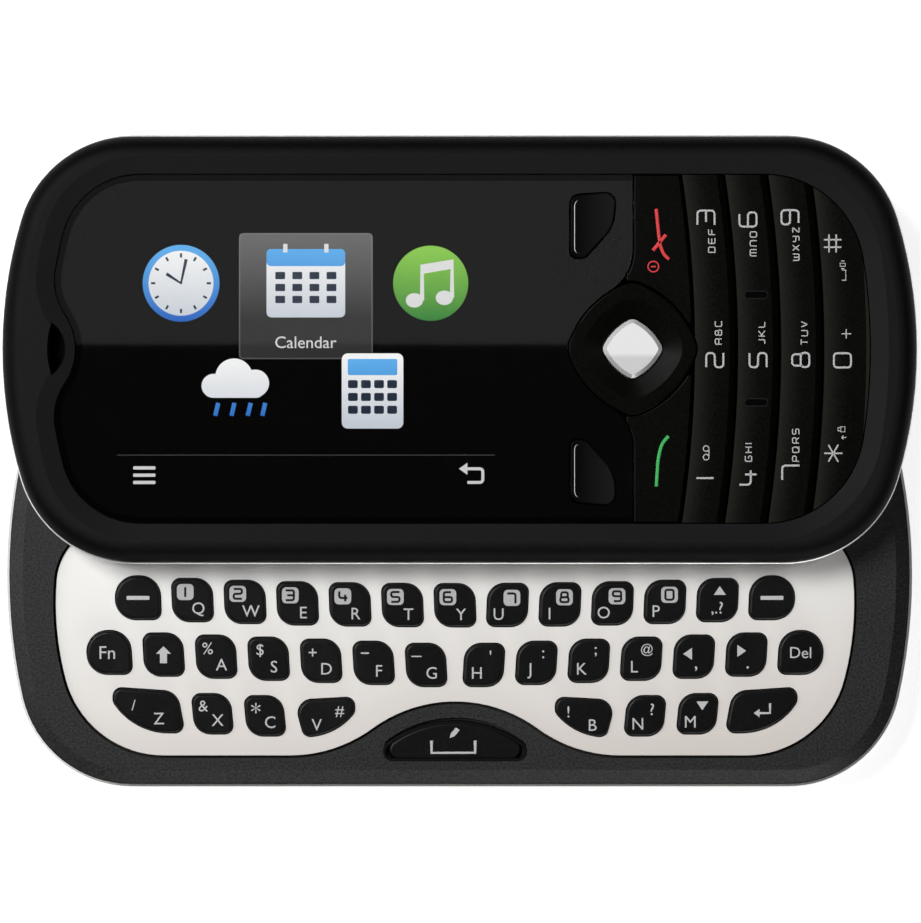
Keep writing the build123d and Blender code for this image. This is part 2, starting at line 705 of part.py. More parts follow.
# Rear housing: an open tray with the battery bay, board posts and the cover's track
with BuildPart() as rear_housing:
    add(housing_shell())
    with BuildSketch(Plane.XY.offset(HOUSING_FLOOR)):
        add(base_outline(HOUSING_INSET + HOUSING_WALL))
    extrude(amount=HOUSING_HEIGHT, mode=Mode.SUBTRACT)
    with BuildSketch(Plane.XY.offset(HOUSING_FLOOR)):
        with Locations((BATTERY_X, 0)):
            Rectangle(
                BATTERY_LENGTH + 2 * (BATTERY_GAP + BAY_WALL),
                BATTERY_WIDTH + 2 * (BATTERY_GAP + BAY_WALL),
            )
    extrude(amount=MAIN_BOARD_Z - BOARD_GAP - HOUSING_FLOOR)
    with BuildSketch(Plane.XY.offset(HOUSING_FLOOR)):
        with Locations(post_places()):
            Circle(POST_R)
    extrude(amount=MAIN_BOARD_Z - HOUSING_FLOOR)
    with BuildSketch(Plane.XY.offset(MAIN_BOARD_Z)):
        with Locations(post_places()):
            Circle(POST_HOLE_R)
    extrude(amount=HOUSING_FLOOR - MAIN_BOARD_Z, mode=Mode.SUBTRACT)
    with BuildSketch():
        with Locations((BATTERY_X, 0)):
            RectangleRounded(
                BATTERY_LENGTH + 2 * BATTERY_GAP, BATTERY_WIDTH + 2 * BATTERY_GAP, BATTERY_EDGE_R
            )
    extrude(amount=HOUSING_HEIGHT, mode=Mode.SUBTRACT)
    with BuildSketch():
        with Locations((-COVER_GAP, 0)):
            add(cover_area(COVER_HALF_WIDTH + COVER_GAP))
    extrude(amount=COVER_THICK + COVER_GAP, mode=Mode.SUBTRACT)
    with BuildSketch(Plane.XY.offset(COVER_THICK - COVER_TONGUE_THICK - COVER_GAP)):
        with Locations((-COVER_GAP, 0)):
            add(cover_area(COVER_HALF_WIDTH + COVER_TONGUE + COVER_GAP))
    extrude(amount=COVER_TONGUE_THICK + 2 * COVER_GAP, mode=Mode.SUBTRACT)
    with BuildSketch():
        with Locations((CAMERA_X, 0)):
            Circle(CAMERA_R)
    extrude(amount=CAMERA_DEPTH, mode=Mode.SUBTRACT)
    with BuildSketch():
        with Locations((SPEAKER_X, 0)):
            with GridLocations(SPEAKER_SLOT_PITCH, 0, SPEAKER_SLOTS, 1):
                SlotOverall(SPEAKER_SLOT_LENGTH, SPEAKER_SLOT_WIDTH, rotation=90)
    extrude(amount=HOUSING_FLOOR, mode=Mode.SUBTRACT)
    with BuildSketch(Plane((-BODY_LENGTH / 2, 0, PORT_Z), x_dir=(0, 1, 0), z_dir=(1, 0, 0))):
        RectangleRounded(PORT_WIDTH, PORT_HEIGHT, PORT_CORNER_R)
    extrude(amount=2 * HOUSING_WALL, mode=Mode.SUBTRACT)
rear_housing.part.label = "rear_housing"
export_step(rear_housing.part, "parts/rear_housing.step")

# Battery cover: a plate that slides out at the +X end, held by a tongue along each side
with BuildPart() as battery_cover:
    with BuildSketch():
        add(cover_area(COVER_HALF_WIDTH))
    extrude(amount=COVER_THICK)
    with BuildSketch(Plane.XY.offset(COVER_THICK - COVER_TONGUE_THICK)):
        add(cover_area(COVER_HALF_WIDTH + COVER_TONGUE))
    extrude(amount=COVER_TONGUE_THICK)
    add(housing_shell(), mode=Mode.INTERSECT)
battery_cover.part.label = "battery_cover"
export_step(battery_cover.part, "parts/battery_cover.step")

# Battery: a flat block that fills its bay
with BuildPart() as battery:
    with BuildSketch(Plane.XY.offset(BATTERY_Z)):
        with Locations((BATTERY_X, 0)):
            RectangleRounded(BATTERY_LENGTH, BATTERY_WIDTH, BATTERY_EDGE_R)
    extrude(amount=BATTERY_HEIGHT)
battery.part.label = "battery"
export_step(battery.part, "parts/battery.step")

# Main circuit board, on the housing's posts, with what is soldered to its underside
with BuildPart() as main_board:
    with BuildSketch(Plane.XY.offset(MAIN_BOARD_Z)):
        add(base_outline(FRAME_INSET + FRAME_WALL + BOARD_GAP))
    extrude(amount=BOARD_THICK)
    with BuildSketch(Plane.XY.offset(MAIN_BOARD_Z)):
        with Locations((SPEAKER_X, 0)):
            Rectangle(SPEAKER_WIDTH, SPEAKER_LENGTH)
        with Locations((SPEAKER_X, SHIELD_Y), (SPEAKER_X, -SHIELD_Y)):
            Rectangle(SHIELD_LENGTH, SHIELD_WIDTH)
        with Locations((END_SHIELD_X, 0)):
            Rectangle(SHIELD_WIDTH, SHIELD_LENGTH)
        with Locations((CAMERA_X, 0)):
            Circle(CAMERA_R)
    extrude(amount=-UNDER_BOARD_HEIGHT)
    port_mouth_x = -BODY_LENGTH / 2 + HOUSING_INSET + HOUSING_WALL + FIT_GAP
    with BuildSketch(Plane((port_mouth_x, 0, PORT_Z), x_dir=(0, 1, 0), z_dir=(1, 0, 0))):
        with Locations((0, PORT_LIFT / 2)):
            Rectangle(PORT_WIDTH - 2 * FIT_GAP, PORT_HEIGHT + PORT_LIFT)
    extrude(amount=PORT_SHELL_DEPTH)
    with BuildSketch(Plane((port_mouth_x, 0, PORT_Z), x_dir=(0, 1, 0), z_dir=(1, 0, 0))):
        RectangleRounded(PORT_WIDTH - PORT_SHELL_WALL, PORT_HEIGHT - PORT_SHELL_WALL, PORT_SHELL_WALL)
    extrude(amount=PORT_SHELL_DEPTH - PORT_SHELL_WALL, mode=Mode.SUBTRACT)
main_board.part.label = "main_circuit_board"
export_step(main_board.part, "parts/main_circuit_board.step")

# Base frame: black ring round the keyboard panel, with the deck that carries the slide
with BuildPart() as base_frame:
    with BuildSketch(Plane.XY.offset(HOUSING_HEIGHT)):
        add(base_outline(FRAME_INSET))
    extrude(amount=FRAME_TOP_Z - HOUSING_HEIGHT)
    frame_top = base_frame.faces().sort_by(Axis.Z)[-1]
    chamfer(frame_top.edges(), FRAME_BEVEL_WIDTH, FRAME_BEVEL_DROP, reference=frame_top)
    with BuildSketch(Plane.XY.offset(HOUSING_HEIGHT)):
        add(base_outline(FRAME_INSET + FRAME_WALL))
    extrude(amount=FRAME_SKIN_Z - HOUSING_HEIGHT, mode=Mode.SUBTRACT)
    with BuildSketch(Plane.XY.offset(FRAME_SKIN_Z)):
        with Locations((KEYBOARD_X, 0)):
            add(panel_outline())
        offset(amount=-PANEL_LEDGE)
    extrude(amount=FRAME_TOP_Z, mode=Mode.SUBTRACT)
    with BuildSketch(Plane.XY.offset(PANEL_Z)):
        with Locations((KEYBOARD_X, 0)):
            add(panel_outline())
        offset(amount=PANEL_GAP)
    extrude(amount=FRAME_TOP_Z, mode=Mode.SUBTRACT)
    with BuildSketch(Plane.XY.offset(FRAME_TOP_Z)):
        add(space_outline(SPACE_WELL_MARGIN, SPACE_WELL_LIP))
    extrude(amount=-SPACE_WELL_DEPTH, mode=Mode.SUBTRACT)
    with BuildSketch(Plane.XY.offset(FRAME_SKIN_Z)):
        add(space_outline(0, 0))
        offset(amount=KEY_GAP)
    extrude(amount=FRAME_TOP_Z, mode=Mode.SUBTRACT)
    with BuildSketch(Plane.XY.offset(FRAME_SKIN_Z)):
        add(space_outline(0, 0))
        offset(amount=KEY_FLANGE_WIDTH + KEY_GAP)
    extrude(amount=FRAME_SKIN_UNDER_PANEL, mode=Mode.SUBTRACT)
    with BuildSketch(Plane.XY.offset(SHOE_PLATE_Z)):
        with Locations((0, SHOE_PLATE_START_Y - FIT_GAP)):
            Rectangle(
                2 * (SHOE_PLATE_HALF_WIDTH + FIT_GAP),
                SHOE_PLATE_LENGTH + 2 * FIT_GAP,
                align=(Align.CENTER, Align.MIN),
            )
    extrude(amount=SHOE_PLATE_THICK, mode=Mode.SUBTRACT)
base_frame.part.label = "base_frame"
export_step(base_frame.part, "parts/base_frame.step")

# Keyboard panel: the pale plate that the keys come through
with BuildPart() as keyboard_panel:
    with BuildSketch(Plane.XY.offset(PANEL_Z)):
        with Locations((KEYBOARD_X, 0)):
            add(panel_outline())
    extrude(amount=PANEL_THICK)
    with BuildSketch(Plane.XY.offset(PANEL_Z)):
        for _, plan, place in keyboard_keys():
            with Locations(place):
                add(plan)
        offset(amount=KEY_GAP)
    extrude(amount=PANEL_THICK, mode=Mode.SUBTRACT)
keyboard_panel.part.label = "keyboard_panel"
export_step(keyboard_panel.part, "parts/keyboard_panel.step")

# Keyboard keys: a cap with a flange under the panel
for key_name, plan, place in keyboard_keys():
    with BuildPart() as key:
        with BuildSketch(Plane((*place, KEY_FOOT_Z))):
            add(plan)
            offset(amount=KEY_FLANGE_WIDTH)
        extrude(amount=KEY_FLANGE_THICK)
        with BuildSketch(Plane((*place, KEY_FOOT_Z))):
            add(plan)
        extrude(amount=KEY_TOP_Z - KEY_FOOT_Z)
        fillet(key.faces().sort_by(Axis.Z)[-1].edges(), KEY_EDGE_R)
    key.part.label = key_name
    export_step(key.part, f"parts/{key_name}.step")

# Space key, in the frame's well
with BuildPart() as space_key:
    with BuildSketch(Plane.XY.offset(KEY_FOOT_Z)):
        add(space_outline(0, 0))
        offset(amount=KEY_FLANGE_WIDTH)
    extrude(amount=KEY_FLANGE_THICK)
    with BuildSketch(Plane.XY.offset(KEY_FOOT_Z)):
        add(space_outline(0, 0))
    extrude(amount=KEY_TOP_Z - KEY_FOOT_Z)
    fillet(space_key.faces().sort_by(Axis.Z)[-1].edges(), KEY_EDGE_R)
space_key.part.label = "key_space"
export_step(space_key.part, "parts/key_space.step")

# Shoe plate, sunk in the deck: a sheet with two risers whose ledges run in the rail plate
with BuildPart() as shoe_plate:
    with BuildSketch(Plane.XY.offset(SHOE_PLATE_Z)):
        with Locations((0, SHOE_PLATE_START_Y)):
            Rectangle(
                2 * SHOE_PLATE_HALF_WIDTH, SHOE_PLATE_LENGTH, align=(Align.CENTER, Align.MIN)
            )
    extrude(amount=SHOE_PLATE_THICK)
    for way in (-1, 1):
        riser_align = (Align.MIN if way > 0 else Align.MAX, Align.MIN)
        with BuildSketch(Plane.XY.offset(FRAME_TOP_Z)):
            with Locations((way * SHOE_RISER_X, SHOE_START_Y)):
                Rectangle(SHOE_RISER_THICK, SHOE_LENGTH, align=riser_align)
        extrude(amount=SHOE_LEDGE_TOP_Z - FRAME_TOP_Z)
        with BuildSketch(Plane.XY.offset(SHOE_LEDGE_Z)):
            with Locations((way * SHOE_RISER_X, SHOE_START_Y)):
                Rectangle(SHOE_LEDGE_WIDTH, SHOE_LENGTH, align=riser_align)
        extrude(amount=SHOE_LEDGE_THICK)
    with BuildSketch(Plane.XY.offset(FRAME_TOP_Z)):
        with Locations((-SPRING_PIN_X, FIXED_PIN_Y)):
            Circle(PIN_R)
    extrude(amount=PIN_TOP_Z - FRAME_TOP_Z)
shoe_plate.part.label = "slide_shoe_plate"
export_step(shoe_plate.part, "parts/slide_shoe_plate.step")

# Rail plate of the top half: a folded channel whose lips reach under the shoe's ledges
with BuildPart() as rail_plate:
    rail_middle_y = RAIL_START_Y + RAIL_LENGTH / 2
    with BuildSketch(slider_plane(RAIL_SHEET_Z)):
        with Locations((0, rail_middle_y)):
            Rectangle(
                2 * (RAIL_WEB_X + RAIL_WEB_THICK + RAIL_FLANGE_WIDTH),
                RAIL_LENGTH + 2 * RAIL_END_MARGIN,
            )
    extrude(amount=RAIL_SHEET_THICK)
    for way in (-1, 1):
        web_align = (Align.MAX if way > 0 else Align.MIN, Align.CENTER)
        with BuildSketch(slider_plane(RAIL_LIP_Z)):
            with Locations((way * (RAIL_WEB_X + RAIL_WEB_THICK), rail_middle_y)):
                Rectangle(RAIL_WEB_THICK, RAIL_LENGTH, align=web_align)
        extrude(amount=RAIL_SHEET_Z - RAIL_LIP_Z)
        with BuildSketch(slider_plane(RAIL_LIP_Z)):
            with Locations((way * (RAIL_WEB_X + RAIL_WEB_THICK), rail_middle_y)):
                Rectangle(RAIL_WEB_THICK + RAIL_LIP_REACH, RAIL_LENGTH, align=web_align)
        extrude(amount=RAIL_LIP_THICK)
    with BuildSketch(slider_plane(RAIL_SHEET_Z)):
        with Locations((SPRING_PIN_X, SPRING_MOVING_PIN_Y)):
            Circle(PIN_R)
    extrude(amount=PIN_BOTTOM_Z - RAIL_SHEET_Z)
rail_plate.part.label = "slide_rail_plate"
export_step(rail_plate.part, "parts/slide_rail_plate.step")

# Slide spring: one bent wire between the two pins, an eye at each end
fixed_pin = Vector(-SPRING_PIN_X, FIXED_PIN_Y, SPRING_Z)
moving_pin = Vector(SPRING_PIN_X, SLIDE_TRAVEL + SPRING_MOVING_PIN_Y, SPRING_Z)
with BuildPart() as slide_spring:
    with BuildLine() as spring_path:
        FilletPolyline(
            fixed_pin + Vector(SPRING_EYE_R, 0, 0),
            Vector(SPRING_BEND_X, fixed_pin.Y + SPRING_BEND_RISE, SPRING_Z),
            Vector(-SPRING_BEND_X, moving_pin.Y - SPRING_BEND_RISE, SPRING_Z),
            moving_pin - Vector(SPRING_EYE_R, 0, 0),
            radius=SPRING_BEND_R,
        )
    with BuildSketch(Plane(spring_path.line @ 0, z_dir=spring_path.line % 0)):
        Circle(SPRING_WIRE_R)
    sweep()
    with Locations(fixed_pin, moving_pin):
        Torus(SPRING_EYE_R, SPRING_WIRE_R)
slide_spring.part.label = "slide_spring"
export_step(slide_spring.part, "parts/slide_spring.step")

# Silver back shell of the top half, with the cut-out for the rail plate and its board posts
with BuildPart() as slider_back:
    with BuildSketch(slider_plane(SLIDER_Z)):
        add(top_outline(0))
    extrude(amount=BACK_HEIGHT)
    fillet(slider_back.faces().sort_by(Axis.Z)[0].edges(), BACK_EDGE_R)
    with BuildSketch(slider_plane(SLIDER_Z + BACK_FLOOR)):
        add(top_outline(BACK_WALL))
    extrude(amount=BACK_HEIGHT, mode=Mode.SUBTRACT)
    with BuildSketch(slider_plane(SLIDER_Z + BACK_FLOOR)):
        with GridLocations(2 * SLIDER_END_POST_X, 2 * SLIDER_END_POST_Y, 2, 2):
            Circle(SLIDER_POST_R)
        with GridLocations(2 * SLIDER_SIDE_POST_X, 2 * SLIDER_SIDE_POST_Y, 2, 2):
            Circle(SLIDER_POST_R)
    extrude(amount=SLIDER_BOARD_LIFT)
    with BuildSketch(slider_plane(SLIDER_Z)):
        with Locations((0, rail_middle_y)):
            Rectangle(
                2 * (RAIL_WEB_X + RAIL_WEB_THICK + RAIL_GAP), RAIL_LENGTH + 2 * RAIL_SIDE_GAP
            )
    extrude(amount=BACK_FLOOR, mode=Mode.SUBTRACT)
slider_back.part.label = "slider_back"
export_step(slider_back.part, "parts/slider_back.step")

# Circuit board of the top half
with BuildPart() as slider_board:
    with BuildSketch(slider_plane(SLIDER_BOARD_Z)):
        add(top_outline(SLIDER_BOARD_INSET))
    extrude(amount=SLIDER_BOARD_THICK)
slider_board.part.label = "slider_circuit_board"
export_step(slider_board.part, "parts/slider_circuit_board.step")

# Display module
with BuildPart() as display_module:
    with BuildSketch(slider_plane(DISPLAY_Z)):
        with Locations((DISPLAY_X, 0)):
            Rectangle(DISPLAY_LENGTH, DISPLAY_WIDTH)
    extrude(amount=DISPLAY_THICK)
    chamfer(display_module.edges().filter_by(Axis.Z), DISPLAY_GAP)
display_module.part.label = "display_module"
export_step(display_module.part, "parts/display_module.step")

# Bezel of the top half: a raised matt ring that slopes in to the window and the keypad
with BuildPart() as slider_bezel:
    with BuildSketch(slider_plane(BEZEL_Z)):
        add(top_outline(RIM_WIDTH))
    extrude(amount=BEZEL_HEIGHT)
    fillet(slider_bezel.faces().sort_by(Axis.Z)[-1].edges(), BEZEL_CREST_R)
    with BuildSketch(slider_plane(BEZEL_Z)):
        add(top_outline(RIM_WIDTH + BEZEL_WALL))
    extrude(amount=BEZEL_SKIN_Z - BEZEL_Z, mode=Mode.SUBTRACT)
    with BuildSketch(slider_plane(WINDOW_Z)):
        add(window_outline(0))
    extrude(amount=BEZEL_HEIGHT, mode=Mode.SUBTRACT)
    crest = slider_bezel.faces().sort_by(Axis.Z)[-1]
    slope_width = BEZEL_SIDE_BAND - RIM_WIDTH - BEZEL_CREST_R - BEZEL_CREST_FLAT
    chamfer(crest.inner_wires()[0].edges(), slope_width, BEZEL_SLOPE_DROP, reference=crest)
    with BuildSketch(slider_plane(BEZEL_SKIN_Z)):
        add(window_outline(-BEZEL_LEDGE_WIDTH))
    extrude(amount=BEZEL_LEDGE_THICK, mode=Mode.SUBTRACT)
    with BuildSketch(slider_plane(BEZEL_SKIN_Z)):
        add(window_outline(0))
        with Locations((KEYPAD_X, 0)):
            Rectangle(
                BODY_LENGTH, BODY_WIDTH, align=(Align.MIN, Align.CENTER), mode=Mode.INTERSECT
            )
    extrude(amount=BEZEL_LEDGE_THICK, mode=Mode.SUBTRACT)
    with BuildSketch(slider_plane(BEZEL_SKIN_Z)):
        with BuildLine():
            top = (EARPIECE_X, EARPIECE_HALF_LENGTH)
            bottom = (EARPIECE_X, -EARPIECE_HALF_LENGTH)
            ThreePointArc(top, (EARPIECE_X + EARPIECE_INNER_BULGE, 0), bottom)
            ThreePointArc(bottom, (EARPIECE_X - EARPIECE_OUTER_BULGE, 0), top)
        make_face()
    extrude(amount=BEZEL_HEIGHT, mode=Mode.SUBTRACT)
slider_bezel.part.label = "slider_bezel"
export_step(slider_bezel.part, "parts/slider_bezel.step")

# Display window: clear panel that drops on the bezel's ledge, pierced for the soft keys
with BuildPart() as display_window:
    with BuildSketch(slider_plane(WINDOW_Z)):
        add(window_plan())
        for side in (-1, 1):
            with Locations((KEYPAD_X - SOFT_KEY_X, side * SOFT_KEY_Y)):
                add(soft_key_outline(side, KEY_GAP), mode=Mode.SUBTRACT)
    extrude(amount=WINDOW_THICK)
display_window.part.label = "display_window"
export_step(display_window.part, "parts/display_window.step")

# Soft keys, under the window with a flange
for key_name, side in (("soft_key_right", 1), ("soft_key_left", -1)):
    middle = (KEYPAD_X - SOFT_KEY_X, SLIDE_TRAVEL + side * SOFT_KEY_Y)
    with BuildPart() as soft_key:
        with BuildSketch(Plane((*middle, SLIDER_KEY_Z))):
            add(soft_key_outline(side))
        extrude(amount=WINDOW_TOP_Z - SLIDER_KEY_Z)
        fillet(soft_key.faces().sort_by(Axis.Z)[-1].edges(), SLIDER_KEY_EDGE_R)
        with BuildSketch(Plane((*middle, SLIDER_FLANGE_Z))):
            add(soft_key_outline(side, SLIDER_FLANGE_WIDTH))
        extrude(amount=SLIDER_FLANGE_THICK)
        with BuildSketch(Plane((*middle, SLIDER_KEY_FOOT_Z))):
            Circle(NUB_R)
        extrude(amount=NUB_LENGTH)
    soft_key.part.label = key_name
    export_step(soft_key.part, f"parts/{key_name}.step")

# Call and end keys: the two halves of the strip that the ring divides
for key_name, side in (("end_key", 1), ("call_key", -1)):
    with BuildPart() as strip_key:
        with BuildSketch(slider_plane(SLIDER_KEY_Z)) as strip_plan:
            add(half_of(upright_key_plan(0), side))
            tips = strip_plan.vertices().sort_by(Axis.X)
            fillet(tips[:2] + tips[-1:], KEY_TIP_R)
        extrude(amount=WINDOW_TOP_Z - SLIDER_KEY_Z)
        fillet(strip_key.faces().sort_by(Axis.Z)[-1].edges(), SLIDER_KEY_EDGE_R)
        with BuildSketch(slider_plane(SLIDER_FLANGE_Z)) as flange_plan:
            add(half_of(upright_flange_plan(0), side))
            flange_ends = flange_plan.vertices().sort_by(Axis.X)
            fillet(flange_ends[1:2] + flange_ends[-1:], KEY_TIP_R)
        extrude(amount=SLIDER_FLANGE_THICK)
        with BuildSketch(slider_plane(SLIDER_KEY_FOOT_Z)):
            with Locations((KEYPAD_X + CALL_STRIP_WIDTH / 2, side * BAR_NUB_Y)):
                Circle(NUB_R)
        extrude(amount=NUB_LENGTH)
    strip_key.part.label = key_name
    export_step(strip_key.part, f"parts/{key_name}.step")

# Number bars: curved strips, each falling away towards the next, with a nub under every number
bar_names = ["key_bar_123", "key_bar_456", "key_bar_789", "key_bar_star_0_hash"]
bar_sag = BAR_BOW_R - sqrt(BAR_BOW_R**2 - BAR_NUB_Y**2)
for index, key_name in enumerate(bar_names, start=1):
    bar_x = KEYPAD_X + CALL_STRIP_WIDTH + (index - 0.5) * BAR_PITCH
    with BuildPart() as bar:
        with BuildSketch(slider_plane(SLIDER_KEY_Z)):
            add(upright_key_plan(index))
        extrude(amount=WINDOW_TOP_Z - SLIDER_KEY_Z)
        bar_top = bar.faces().sort_by(Axis.Z)[-1]
        if index < BAR_COUNT:
            falling = bar_top.edges().filter_by_position(Axis.X, bar_x, BODY_LENGTH)
            chamfer(
                falling.sort_by(SortBy.LENGTH)[-1],
                BAR_FALL_WIDTH,
                BAR_FALL_DROP,
                reference=bar_top,
            )
        with BuildSketch(slider_plane(SLIDER_FLANGE_Z)):
            add(upright_flange_plan(index))
        extrude(amount=SLIDER_FLANGE_THICK)
        with BuildSketch(slider_plane(SLIDER_KEY_FOOT_Z)):
            with Locations((bar_x, 0), (bar_x - bar_sag, BAR_NUB_Y), (bar_x - bar_sag, -BAR_NUB_Y)):
                Circle(NUB_R)
        extrude(amount=NUB_LENGTH)
    bar.part.label = key_name
    export_step(bar.part, f"parts/{key_name}.step")

# Navigation ring: dished on top, with a flange under its neighbours and a pocket for the button
with BuildPart() as nav_ring:
    with BuildSketch(slider_plane(SLIDER_KEY_FOOT_Z)):
        with Locations((KEYPAD_X, 0)):
            add(nav_outline())
            add(ok_outline(KEY_GAP), mode=Mode.SUBTRACT)
    extrude(amount=WINDOW_TOP_Z + NAV_PROUD - SLIDER_KEY_FOOT_Z)
    ring_top = nav_ring.faces().sort_by(Axis.Z)[-1]
    chamfer(ring_top.inner_wires()[0].edges(), NAV_DISH_WIDTH, NAV_DISH_DEPTH, reference=ring_top)
    fillet(ring_top.outer_wire().edges(), SLIDER_KEY_EDGE_R)
    with BuildSketch(slider_plane(SLIDER_KEY_FOOT_Z)):
        with Locations((KEYPAD_X, 0)):
            add(nav_outline(NAV_FLANGE_WIDTH))
    extrude(amount=NAV_FLANGE_THICK)
    with BuildSketch(slider_plane(SLIDER_KEY_FOOT_Z)):
        with Locations((KEYPAD_X, 0)):
            add(ok_outline(SLIDER_FLANGE_WIDTH + KEY_GAP))
    extrude(amount=NAV_POCKET_HEIGHT, mode=Mode.SUBTRACT)
nav_ring.part.label = "nav_ring"
export_step(nav_ring.part, "parts/nav_ring.step")

# Middle button of the ring, bevelled, with a flange in the ring's pocket
with BuildPart() as ok_button:
    with BuildSketch(slider_plane(SLIDER_KEY_FOOT_Z)):
        with Locations((KEYPAD_X, 0)):
            add(ok_outline())
    extrude(amount=WINDOW_TOP_Z + OK_PROUD - SLIDER_KEY_FOOT_Z)
    chamfer(ok_button.faces().sort_by(Axis.Z)[-1].edges(), OK_BEVEL)
    with BuildSketch(slider_plane(SLIDER_KEY_FOOT_Z)):
        with Locations((KEYPAD_X, 0)):
            add(ok_outline(SLIDER_FLANGE_WIDTH))
    extrude(amount=NAV_FLANGE_THICK)
ok_button.part.label = "ok_button"
export_step(ok_button.part, "parts/ok_button.step")
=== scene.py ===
import json
from math import cos, pi, radians, sin

import bpy
from mathutils import Matrix, Vector

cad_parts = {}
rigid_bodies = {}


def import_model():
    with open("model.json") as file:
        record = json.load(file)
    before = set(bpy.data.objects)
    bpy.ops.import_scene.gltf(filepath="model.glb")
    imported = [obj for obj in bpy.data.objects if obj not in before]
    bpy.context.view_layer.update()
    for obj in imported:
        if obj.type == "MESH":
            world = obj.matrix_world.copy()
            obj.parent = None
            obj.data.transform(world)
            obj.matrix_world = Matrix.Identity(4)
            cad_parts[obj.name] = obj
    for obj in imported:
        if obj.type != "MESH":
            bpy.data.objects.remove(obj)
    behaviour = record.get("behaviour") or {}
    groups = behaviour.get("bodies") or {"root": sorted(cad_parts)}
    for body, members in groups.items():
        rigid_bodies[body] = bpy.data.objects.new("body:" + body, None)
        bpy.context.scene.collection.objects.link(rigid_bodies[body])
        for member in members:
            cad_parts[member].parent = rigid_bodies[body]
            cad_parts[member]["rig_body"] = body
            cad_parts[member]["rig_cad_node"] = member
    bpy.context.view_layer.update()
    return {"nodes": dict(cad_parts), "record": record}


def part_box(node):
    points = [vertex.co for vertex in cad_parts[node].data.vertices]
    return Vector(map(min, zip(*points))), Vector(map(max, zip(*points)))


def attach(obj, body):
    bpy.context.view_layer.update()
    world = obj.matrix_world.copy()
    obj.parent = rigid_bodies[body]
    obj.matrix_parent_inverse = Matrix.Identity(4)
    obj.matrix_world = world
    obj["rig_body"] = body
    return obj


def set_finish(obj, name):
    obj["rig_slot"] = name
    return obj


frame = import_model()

# Mobile phone with its top half slid open. Places are in millimetres and become metres in the
# helpers. +X runs to the number keys, +Y is the way the top half opens, +Z comes out of the display.
nodes = frame["nodes"]
MM = 0.001

# Printing: its thickness, widths of strokes and heights of capitals
PRINT_THICK = 0.03
FIGURE_STROKE = 0.25
WORD_STROKE = 0.14
SIGN_STROKE = 0.13
FIGURE_CAP = 2.25
WORD_CAP = 0.88
KEY_CAP = 1.36

# Top half, where it stands open
SLIDER_Y = 26.6
SCREEN_X = -17.97
SCREEN_Y = 26.69
SCREEN_LENGTH = 45.4
SCREEN_WIDTH = 34.3
SCREEN_Z = 13.14
LAYER = 0.05
FIRST_BAR_X = 27.35
BAR_PITCH = 5.04
BAR_BOW_R = 137.0
# The soft key edge bead that carries a painted highlight stays left of this; the soft keys' painted sheen
# starts here
SOFT_KEY_GLEAM_X = 14.0  # the pale bead on a soft key's edge stays to the left of it


def tone(red, green, blue):
    """A colour as it shows, 0 to 255, in the values that a material takes."""
    return tuple(((c / 255 + 0.055) / 1.055) ** 2.4 if c > 10 else c / 255 / 12.92
                 for c in (red, green, blue)) + (1.0,)


def grey(level):
    return tone(level, level, level)


# Nodes and the effects that several finishes share

COLOUR_A, COLOUR_B, COLOUR_OUT = 6, 7, 2  # the colour sockets of a Mix node


def feed(tree, node, inputs):
    """Set inputs of a node, each to a number, a colour or another node's output."""
    for label, value in inputs.items():
        if hasattr(value, "is_linked"):
            tree.links.new(value, node.inputs[label])
        else:
            node.inputs[label].default_value = value
    return node


def add_node(tree, kind, inputs, **settings):
    """A new node with its settings and inputs."""
    node = tree.nodes.new("ShaderNode" + kind)
    for label, value in settings.items():
        setattr(node, label, value)
    return feed(tree, node, inputs)


def surface(tree):
    """Object place and normal of the surface, by name."""
    return tree.nodes.new("ShaderNodeTexCoord").outputs


def parts_of(tree, vector):
    """X, Y and Z of a vector, by name."""
    return add_node(tree, "SeparateXYZ", {"Vector": vector}).outputs


def noise(tree, place, scale, detail=3.0, roughness=0.5):
    """Noise on a place; scale is its fineness per metre, a number or a socket."""
    given = {"Vector": place, "Scale": scale, "Detail": detail, "Roughness": roughness}
    return add_node(tree, "TexNoise", given).outputs["Fac"]


def span(tree, value, low, high, to_low=0.0, to_high=1.0):
    """A value spread from one range to another, clamped; each end is a number or a socket."""
    ends = {"Value": value, "From Min": low, "From Max": high, "To Min": to_low, "To Max": to_high}
    return add_node(tree, "MapRange", ends).outputs["Result"]


def arith(tree, kind, first, second=0.0):
    """One sum on two values, each a number or a socket."""
    return add_node(tree, "Math", {0: first, 1: second}, operation=kind).outputs["Value"]


def plus(tree, base, extra, share):
    """A value with a share of another added to it."""
    return arith(tree, "ADD", base, arith(tree, "MULTIPLY", extra, share))


def effect(name, inputs, outputs):
    """An empty effect: its group, its number inputs, and the node that takes its results."""
    group = bpy.data.node_groups.new(name, "ShaderNodeTree")
    for label, value in inputs.items():
        socket = group.interface.new_socket(name=label, in_out="INPUT", socket_type="NodeSocketFloat")
        socket.default_value = value
    for label in outputs:
        group.interface.new_socket(name=label, in_out="OUTPUT", socket_type="NodeSocketFloat")
    return group, group.nodes.new("NodeGroupInput").outputs, group.nodes.new("NodeGroupOutput")


def moulded_grain():
    """Fine tooled grain of moulded plastic, with a broad drift in how it shines."""
    group, given, result = effect(
        "moulded_grain", {"Fineness": 4000.0, "Smoothest": 0.3, "Roughest": 0.5},
        ("Height", "Roughness", "Speck"),
    )
    place = surface(group)["Object"]
    fine = noise(group, place, given["Fineness"], 2.0, 0.6)
    broad = noise(group, place, 90.0, 4.0, 0.55)
    both = plus(group, arith(group, "MULTIPLY", fine, 0.6), broad, 0.4)
    rough = span(group, both, 0.3, 0.7, given["Smoothest"], given["Roughest"])
    feed(group, result, {"Height": fine, "Roughness": rough, "Speck": span(group, fine, 0.38, 0.62)})
    return group


